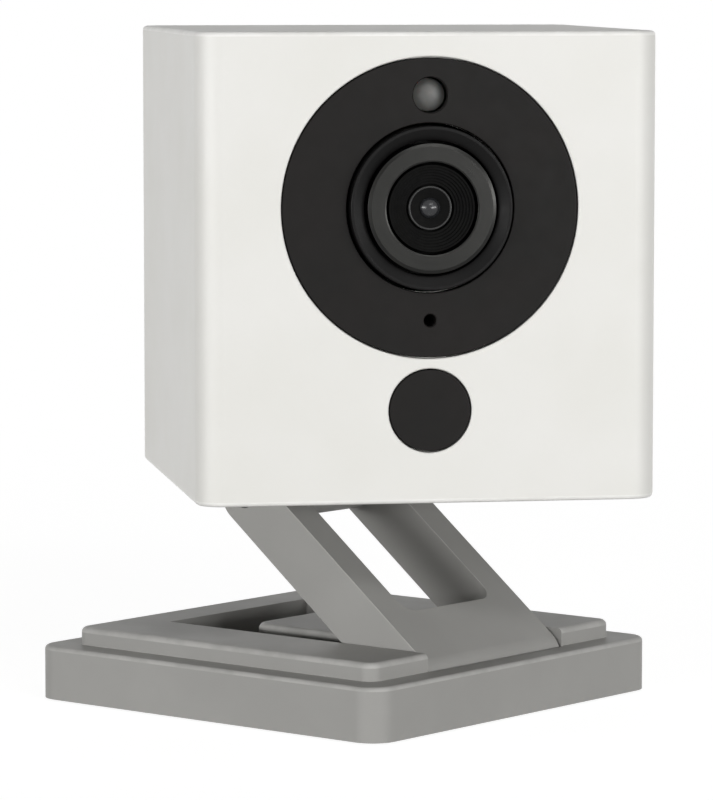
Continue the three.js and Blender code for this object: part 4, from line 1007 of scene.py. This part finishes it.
@dataclass
class Face(Head):
    """The black panel with the lens, the light sensor's tip and the infrared window."""

    panel_edge: float = 0.12
    sensor_hole: float = 1.9
    microphone_hole: float = 0.68
    collar_inner: float = 7.24
    collar_throat: float = 6.3
    collar_rim: float = 0.35
    collar_dish: float = 0.55
    collar_flange: float = 0.8
    ring_bore: float = 4.95
    ring_edge: float = 0.05
    ring_outer_chamfer: Pair = (0.36, 0.12)
    ring_inner_chamfer: Pair = (0.16, 0.05)
    funnel_lip: float = 0.2
    funnel_steps: int = 6
    funnel_draft: float = 0.04
    mouth: float = 2.6
    front_rim: float = 0.4
    rim_width: float = 0.22
    rim_proud: float = 0.1
    clear_radius: float = 1.1
    mask_dish: float = 0.12

    @property
    def lens(self) -> Vector:
        """A point on the lens axis."""
        return self.box("lens_bezel").centre

    def build(self) -> None:
        """Builds and dresses what the face shows."""
        self.build_panel()
        self.build_window()
        self.build_collar()
        self.build_ring()
        self.build_funnel()
        self.build_front_element()
        self.build_light_guide()

    def build_panel(self) -> None:
        """Models the panel round the lens."""
        radius, front, back = self.box("face_disc").bar
        panel = turned("front_panel", self.lens, [
            (self.lens_hole, back, 0), (radius, back, 0), (radius, front, self.panel_edge),
            (self.lens_hole, front, self.panel_edge)], steps=192)
        for rise, hole in ((self.sensor_rise, self.sensor_hole), (-self.sensor_rise, self.microphone_hole)):
            at = (0, 0, self.lens.z + rise)
            panel.cut(drill(at, hole, front, back + PAST, self.hole_flare, 64))
        self.finish(panel, BLACK_ACRYLIC, "panel_black", "face_disc")

    def build_window(self) -> None:
        """Models the infrared window below the panel."""
        box = self.box("ir_window")
        radius, front, back = box.bar
        window = turned("infrared_window", box.centre, [
            (0, front, 0), (radius, front, self.panel_edge), (radius, back, 0), (0, back, 0)])
        self.finish(window, BLACK_ACRYLIC, "window_black", "ir_window")

    def build_collar(self) -> None:
        """Models the dished ring that the lens stands in."""
        outer, front, back = self.box("lens_surround").bar
        inner, throat, flange = self.collar_inner, self.collar_throat, back - self.collar_flange
        collar = turned("lens_collar", self.lens, [
            (throat, back, 0), (outer, back, 0), (outer, front, 0.15), (outer - self.collar_rim, front, 0.08),
            (inner, front + self.collar_dish, 0.1), (inner, flange, 0), (throat, flange, 0)], steps=160)
        self.finish(collar, BLACK_SATIN, "surround_black", "lens_surround")

    def build_ring(self) -> None:
        """Models the ring on the lens's nose: dark anodised aluminium, turned about the lens axis."""
        outer, front, back = self.box("lens_bezel").bar
        edge, bore = self.ring_edge, self.ring_bore
        (outer_width, outer_depth), (inner_width, inner_depth) = (
            self.ring_outer_chamfer, self.ring_inner_chamfer)
        ring = turned("retaining_ring", self.lens, [
            (bore, back, 0), (outer, back, 0.1), (outer, front + outer_depth, edge),
            (outer - outer_width, front, edge), (bore + inner_width, front, edge),
            (bore, front + inner_depth, edge)], steps=160)
        anodised = TurnedMetal(
            "anodised_turned_aluminium", "2B2B2A", "282827", roughness=0.30, spread=0.03, patch=5, grain=0.12,
            depth=0.001, shader={"Metallic": 1.0}, yaw=self.place.to_euler().z,
            axis_at=tuple(self.place @ Vector((0.0, 0.0, self.lens.z * MM))))
        self.finish(ring, anodised, "bezel_grey", "lens_bezel")

    def build_funnel(self) -> None:
        """Models the stepped black funnel round the front element."""
        outer, front, back = self.box("lens_baffle").bar
        mouth, lip, floor, steps = self.mouth, self.funnel_lip, back - self.front_rim, self.funnel_steps
        slope: list[Corner] = []
        for i in range(steps):
            radius = outer - lip + (mouth - outer + lip) * (i / steps)
            depth = front + (floor - front) * (i / steps)
            slope += [(radius, depth, 0.0), (radius - self.funnel_draft, depth + (floor - front) / steps, 0.0)]
        funnel = turned("lens_funnel", self.lens, [
            (mouth, back, 0), (outer, back, 0), (outer, front, 0.05), *slope, (mouth, floor, 0)])
        self.finish(funnel, OPTIC_BLACK, "optic_black", "lens_baffle")

    def build_front_element(self) -> None:
        """Models the front element: a polished dome, blackened round its clear middle, in a ground rim."""
        outer, apex, back = self.box("front_lens").bar
        masked, clear, rim = outer - self.rim_width, self.clear_radius, back - self.front_rim
        proud = rim - self.rim_proud
        for name, look, slot, nodes, corners in (
            ("front_element", LENS_GLASS, "lens_glass", ["front_lens"], [
                (0, back, 0), (clear, back, 0), *dome(clear, rim, apex)]),
            ("front_element_mask", OPTIC_BLACK, "optic_black", [], [
                (clear, back, 0), (masked, back, 0), (masked, rim, 0), (clear, rim + self.mask_dish, 0)]),
            ("front_element_rim", GROUND_RIM, "optic_black", [], [
                (masked, back, 0), (outer, back, 0), (outer, proud, 0.08), (masked, proud, 0.08)]),
        ):
            self.finish(turned(name, self.lens, corners, steps=96), look, slot, *nodes)

    def build_light_guide(self) -> None:
        """Models the frosted tip in front of the light sensor."""
        box = self.box("light_pipe")
        radius, tip, back = box.bar
        guide = turned("light_guide", box.centre, [
            (0, back, 0), (radius, back, 0), *dome(radius, tip + radius / 3, tip)], steps=64)
        self.finish(guide, FROSTED, "frosted_lens", "light_pipe")


@dataclass
class Ports(Head):
    """What the head's back shows: sockets and status light. A tongue's sizes are shares of its socket's."""

    skin: float = 0.4
    usb_tongue: Triple = (0.8, 0.36, 0.3)  # width, drop of its middle, thickness
    micro_tongue: Triple = (0.5, 0.45, 0.2)
    tongue_edge: float = 0.1
    usb_corner: float = 0.5
    micro_corner: float = 0.3
    contact_width: float = 1.0
    contact_pitch: float = 2.3
    contact_thickness: float = 0.12
    contact_edge: float = 0.04
    light_crown: float = 0.25

    def build(self) -> None:
        """Builds and dresses the ports and the light."""
        self.build_sockets()
        self.build_contacts()
        self.build_status_light()

    def build_sockets(self) -> None:
        """Models the two folded metal sockets with their tongues."""
        skin = self.skin
        for node, name, (width, drop, thickness), corner in (
            ("usb_a_socket", "usb_a_port", self.usb_tongue, self.usb_corner),
            ("micro_usb_socket", "micro_usb_port", self.micro_tongue, self.micro_corner),
        ):
            box = self.box(node)
            socket = block(name, box.low, box.high).round_along(Axis.Y, corner, segments=5)
            mouth = block(
                "mouth", (box.low.x + skin, box.low.y + 4 * skin, box.low.z + skin),
                (box.high.x - skin, box.high.y + PAST, box.high.z - skin))
            mouth.round_along(Axis.Y, corner / 2, segments=5)
            half, rise = box.size.x * width / 2, box.size.z * thickness / 2
            middle = box.high.z - box.size.z * drop
            blade = block(
                "tongue", (box.centre.x - half, box.low.y + 2 * skin, middle - rise),
                (box.centre.x + half, box.high.y - 2 * skin, middle + rise))
            socket.cut(mouth).ease_edges(skin / 4, segments=2)
            socket.fuse(blade.ease_edges(self.tongue_edge, segments=2))
            self.finish(socket, NICKEL, "nickel", node)

    def build_contacts(self) -> None:
        """Lays four gold contacts on the underside of the large port's tongue."""
        box, (_, drop, thickness) = self.box("usb_a_socket"), self.usb_tongue
        under, half = box.high.z - box.size.z * (drop + thickness / 2), self.contact_width / 2
        first = block(
            "usb_a_contacts", (box.centre.x - half, box.centre.y, under - self.contact_thickness),
            (box.centre.x + half, box.high.y - 4 * self.skin, under))
        first.ease_edges(self.contact_edge, segments=2)
        first.repeated([((i - 1.5) * self.contact_pitch, 0, 0) for i in range(4)])
        self.finish(first, GOLD_FLASH, "nickel")

    def build_status_light(self) -> None:
        """Models the status light's domed tip."""
        box = self.box("status_light")
        radius, front, back = box.bar
        light = turned("status_light_tip", box.centre, [
            (0, front, 0), (radius, front, 0), *dome(radius, back - self.light_crown, back)], steps=48)
        self.finish(light, FROSTED, "frosted_lens", "status_light")


@dataclass
class Button(Head):
    """The setup button under the head: cap, collar and stem."""

    body: str = "setup_button"
    collar_step: float = 0.6
    collar_under: float = 6.1
    collar_height: float = 1.0
    stem: float = 1.2
    dish: float = 0.12
    dish_margin: float = 0.7

    def build(self) -> None:
        """Builds and dresses the button."""
        box = self.box("setup_button")
        collar, low, top, stem = box.size.x / 2, box.low.z, box.high.z, self.stem
        cap, seat, roof = collar - self.collar_step, self.collar_under, self.collar_under + self.collar_height
        button = turned("setup_button_cap", box.centre, [
            (0, low + self.dish, 0), (cap - self.dish_margin, low, 0.3), (cap, low, 0.3), (cap, seat, 0),
            (collar, seat, 0.1), (collar, roof, 0.1), (stem, roof, 0), (stem, top, 0.2), (0, top, 0)],
            steps=64, axis=Axis.Z)
        self.finish(button, GREY_ABS, "stand_grey", "setup_button")


# ---- what the housing holds


@dataclass
class Inside:
    """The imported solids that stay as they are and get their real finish."""

    looks: tuple[tuple[Finish, tuple[str, ...]], ...] = (
        (NICKEL, ("base_magnet", "wifi_module", "card_socket", "microphone")),
        (ZINC_STEEL, ("swivel_washer", "swivel_screw", *(f"board_screw_{i}" for i in (1, 2, 3, 4)))),
        (GREY_ABS, ("pin_keeper_left", "pin_keeper_right")),
        (OPTIC_BLACK, ("lens_barrel", "aperture_stop", "lens_holder", "filter_carriage")),
        (LENS_GLASS, ("rear_lens", "clear_pane")),
        (FILTER_GLASS, ("infrared_block_pane",)),
        (CHIP_EPOXY, ("filter_coil", "image_sensor", "light_sensor", "processor", "setup_switch")),
        (BOARD_GREEN, ("sensor_board", "infrared_board", "main_board")),
        (PAD_RUBBER, ("microphone_boot", "speaker_gasket")),
        (FROSTED, tuple(f"infrared_led_{i}" for i in (1, 2, 3, 4))),
        (ALUMINIUM, ("heat_spreader",)),
        (AMBER_FILM, ("antenna", "ribbon_cable")),
        (BLACK_SATIN, ("speaker",)),
    )

    def build(self) -> None:
        """Gives each solid its finish."""
        for look, nodes in self.looks:
            for name in nodes:
                for holder in frame["nodes"][name].material_slots:
                    holder.material = look.make()
                LOG.info("%s: %s", name, look.name)


# ---- studio


@dataclass(frozen=True)
class Lamp:
    """A large soft lamp, in metres and degrees."""

    name: str
    azimuth: float  # from -Y towards +X
    level: float  # the light on a surface that faces it, where 1 shows a colour as written
    elevation: float = 4
    distance: float = 1.2
    size: Pair = (0.9, 0.16)
    gleams: bool = True  # whether glossy surfaces mirror it

    def build(self, aim: Vector) -> None:
        """Puts the lamp in the scene.

        Args:
            aim: What it points at.
        """
        data = bpy.data.lights.new(self.name, "AREA")
        data.shape = "RECTANGLE"
        data.size, data.size_y = self.size
        data.energy = self.level * (math.pi * self.distance) ** 2
        lamp = bpy.data.objects.new(self.name, data)
        bpy.context.scene.collection.objects.link(lamp)
        turn, lift = math.radians(self.azimuth), math.radians(self.elevation)
        away = Vector((
            math.sin(turn) * math.cos(lift), -math.cos(turn) * math.cos(lift), math.sin(lift)))
        lamp.location = aim + away * self.distance
        lamp.rotation_euler = away.to_track_quat("Z", "Y").to_euler()
        lamp.visible_camera = False
        lamp.visible_glossy = self.gleams


@dataclass
class Studio:
    """A pale floor, soft lamps, a pale surround and the camera, whose place is in millimetres."""

    aim: Vector = field(default_factory=lambda: Vector((0.0, 0.0, 0.035)))
    lamps: tuple[Lamp, ...] = (
        Lamp("right_lamp", 84, 0.53),
        Lamp("left_lamp", -8, 0.60),
        Lamp("high_lamp", 62, 0.15, elevation=34, size=(0.6, 0.16)),
        Lamp("back_lamp", 212, 0.5, gleams=False),
    )
    ambient: float = 0.05
    floor_tone: str = "E4E4E3"
    floor_size: float = 6
    floor_drop: float = 0.00003
    floor_level: float = 0.22
    shadow_share: float = 0.3
    shadow_reach: Pair = (0.05, 0.3)
    camera_azimuth: float = 39.46
    camera_pitch: float = 5.56
    camera_distance: float = 506.43
    camera_aside: float = 1.26
    camera_height: float = 82.94
    camera_lens: float = 202.24

    def build(self) -> None:
        """Builds the studio."""
        self.build_floor()
        self.build_world()
        for lamp in self.lamps:
            lamp.build(self.aim)
        self.build_camera()
        bpy.context.scene.view_settings.view_transform = "Standard"

    @staticmethod
    def seen(tree: Tree) -> Socket:
        """Adds a test for rays that show the surroundings: camera, glossy and transmission rays.

        Args:
            tree: The tree that gets the test.

        Returns:
            A socket that is 1 for such rays and 0 for others.
        """
        path = add_node(tree, "LightPath", {})
        either = {0: path["Is Camera Ray"], 1: path["Is Glossy Ray"]}
        either = add_node(tree, "Math", either, operation="MAXIMUM")["Value"]
        return add_node(tree, "Math", {0: either, 1: path["Is Transmission Ray"]}, operation="MAXIMUM")["Value"]

    def build_floor(self) -> None:
        """Lays the floor: near white where it is seen, with the object's soft shadow kept."""
        deselect()
        bpy.ops.mesh.primitive_plane_add(size=self.floor_size, location=(0.0, 0.0, -self.floor_drop))
        floor = bpy.context.object
        floor.name = "studio_floor"
        material = bpy.data.materials.new("matt_white_paper")
        material.use_nodes = True
        tree = material.node_tree
        paper = tree.nodes["Principled BSDF"]
        for name, value in (
            ("Base Color", colour(self.floor_tone)), ("Roughness", 0.9), ("Specular IOR Level", 0.0),
        ):
            paper.inputs[name].default_value = value
        coords = add_node(tree, "TexCoord", {})["Object"]
        away = add_node(tree, "VectorMath", {0: coords}, operation="LENGTH")["Value"]
        near_edge, far_edge = self.shadow_reach
        near = add_node(tree, "MapRange", {
            "Value": away, "From Min": near_edge, "From Max": far_edge, "To Min": self.shadow_share,
            "To Max": 0.0}, interpolation_type="SMOOTHSTEP")["Result"]
        glow_share = add_node(tree, "Math", {0: 1.0, 1: near}, operation="SUBTRACT")["Value"]
        taken = add_node(tree, "Math", {0: near, 1: self.floor_level}, operation="MULTIPLY")["Value"]
        rest = add_node(tree, "Math", {0: 1.0, 1: taken}, operation="SUBTRACT")["Value"]
        strength = add_node(tree, "Math", {0: rest, 1: glow_share}, operation="DIVIDE")["Value"]
        glow = add_node(tree, "Emission", {"Strength": strength})["Emission"]
        share = add_node(tree, "Math", {0: self.seen(tree), 1: glow_share}, operation="MULTIPLY")["Value"]
        mixed = add_node(tree, "MixShader", {0: share, 1: paper.outputs["BSDF"], 2: glow})["Shader"]
        tree.links.new(mixed, tree.nodes["Material Output"].inputs["Surface"])
        floor.data.materials.append(material)

    def build_world(self) -> None:
        """Makes the surround white where it is seen and softer where it lights."""
        world = bpy.data.worlds.new("studio_surround")
        bpy.context.scene.world = world
        world.use_nodes = True
        tree = world.node_tree
        inputs = tree.nodes["Background"].inputs
        level = {"Value": self.seen(tree), "To Min": self.ambient, "To Max": 1.0}
        tree.links.new(add_node(tree, "MapRange", level)["Result"], inputs["Strength"])
        inputs["Color"].default_value = (1.0, 1.0, 1.0, 1.0)

    def build_camera(self) -> None:
        """Puts the camera where it looks at the head from its left and a little above."""
        data = bpy.data.cameras.new("camera")
        data.lens = self.camera_lens
        data.clip_start, data.clip_end = 0.01, 20.0
        camera = bpy.data.objects.new("camera", data)
        turn, away, aside = math.radians(self.camera_azimuth), self.camera_distance, self.camera_aside
        camera.location = Vector((
            math.sin(turn) * away + aside * math.cos(turn), -math.cos(turn) * away + aside * math.sin(turn),
            self.camera_height)) * MM
        camera.rotation_euler = (math.radians(90 - self.camera_pitch), 0.0, turn)
        bpy.context.scene.collection.objects.link(camera)
        bpy.context.scene.camera = camera


def main() -> None:
    """Builds the studio and every sub-assembly."""
    logging.basicConfig(level=logging.INFO, format="%(name)s: %(message)s")
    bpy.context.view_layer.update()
    for part in (Studio, Base, Arm, Turntable, Housing, Face, Ports, Button, Inside):
        part().build()


if __name__ == "__main__":
    main()
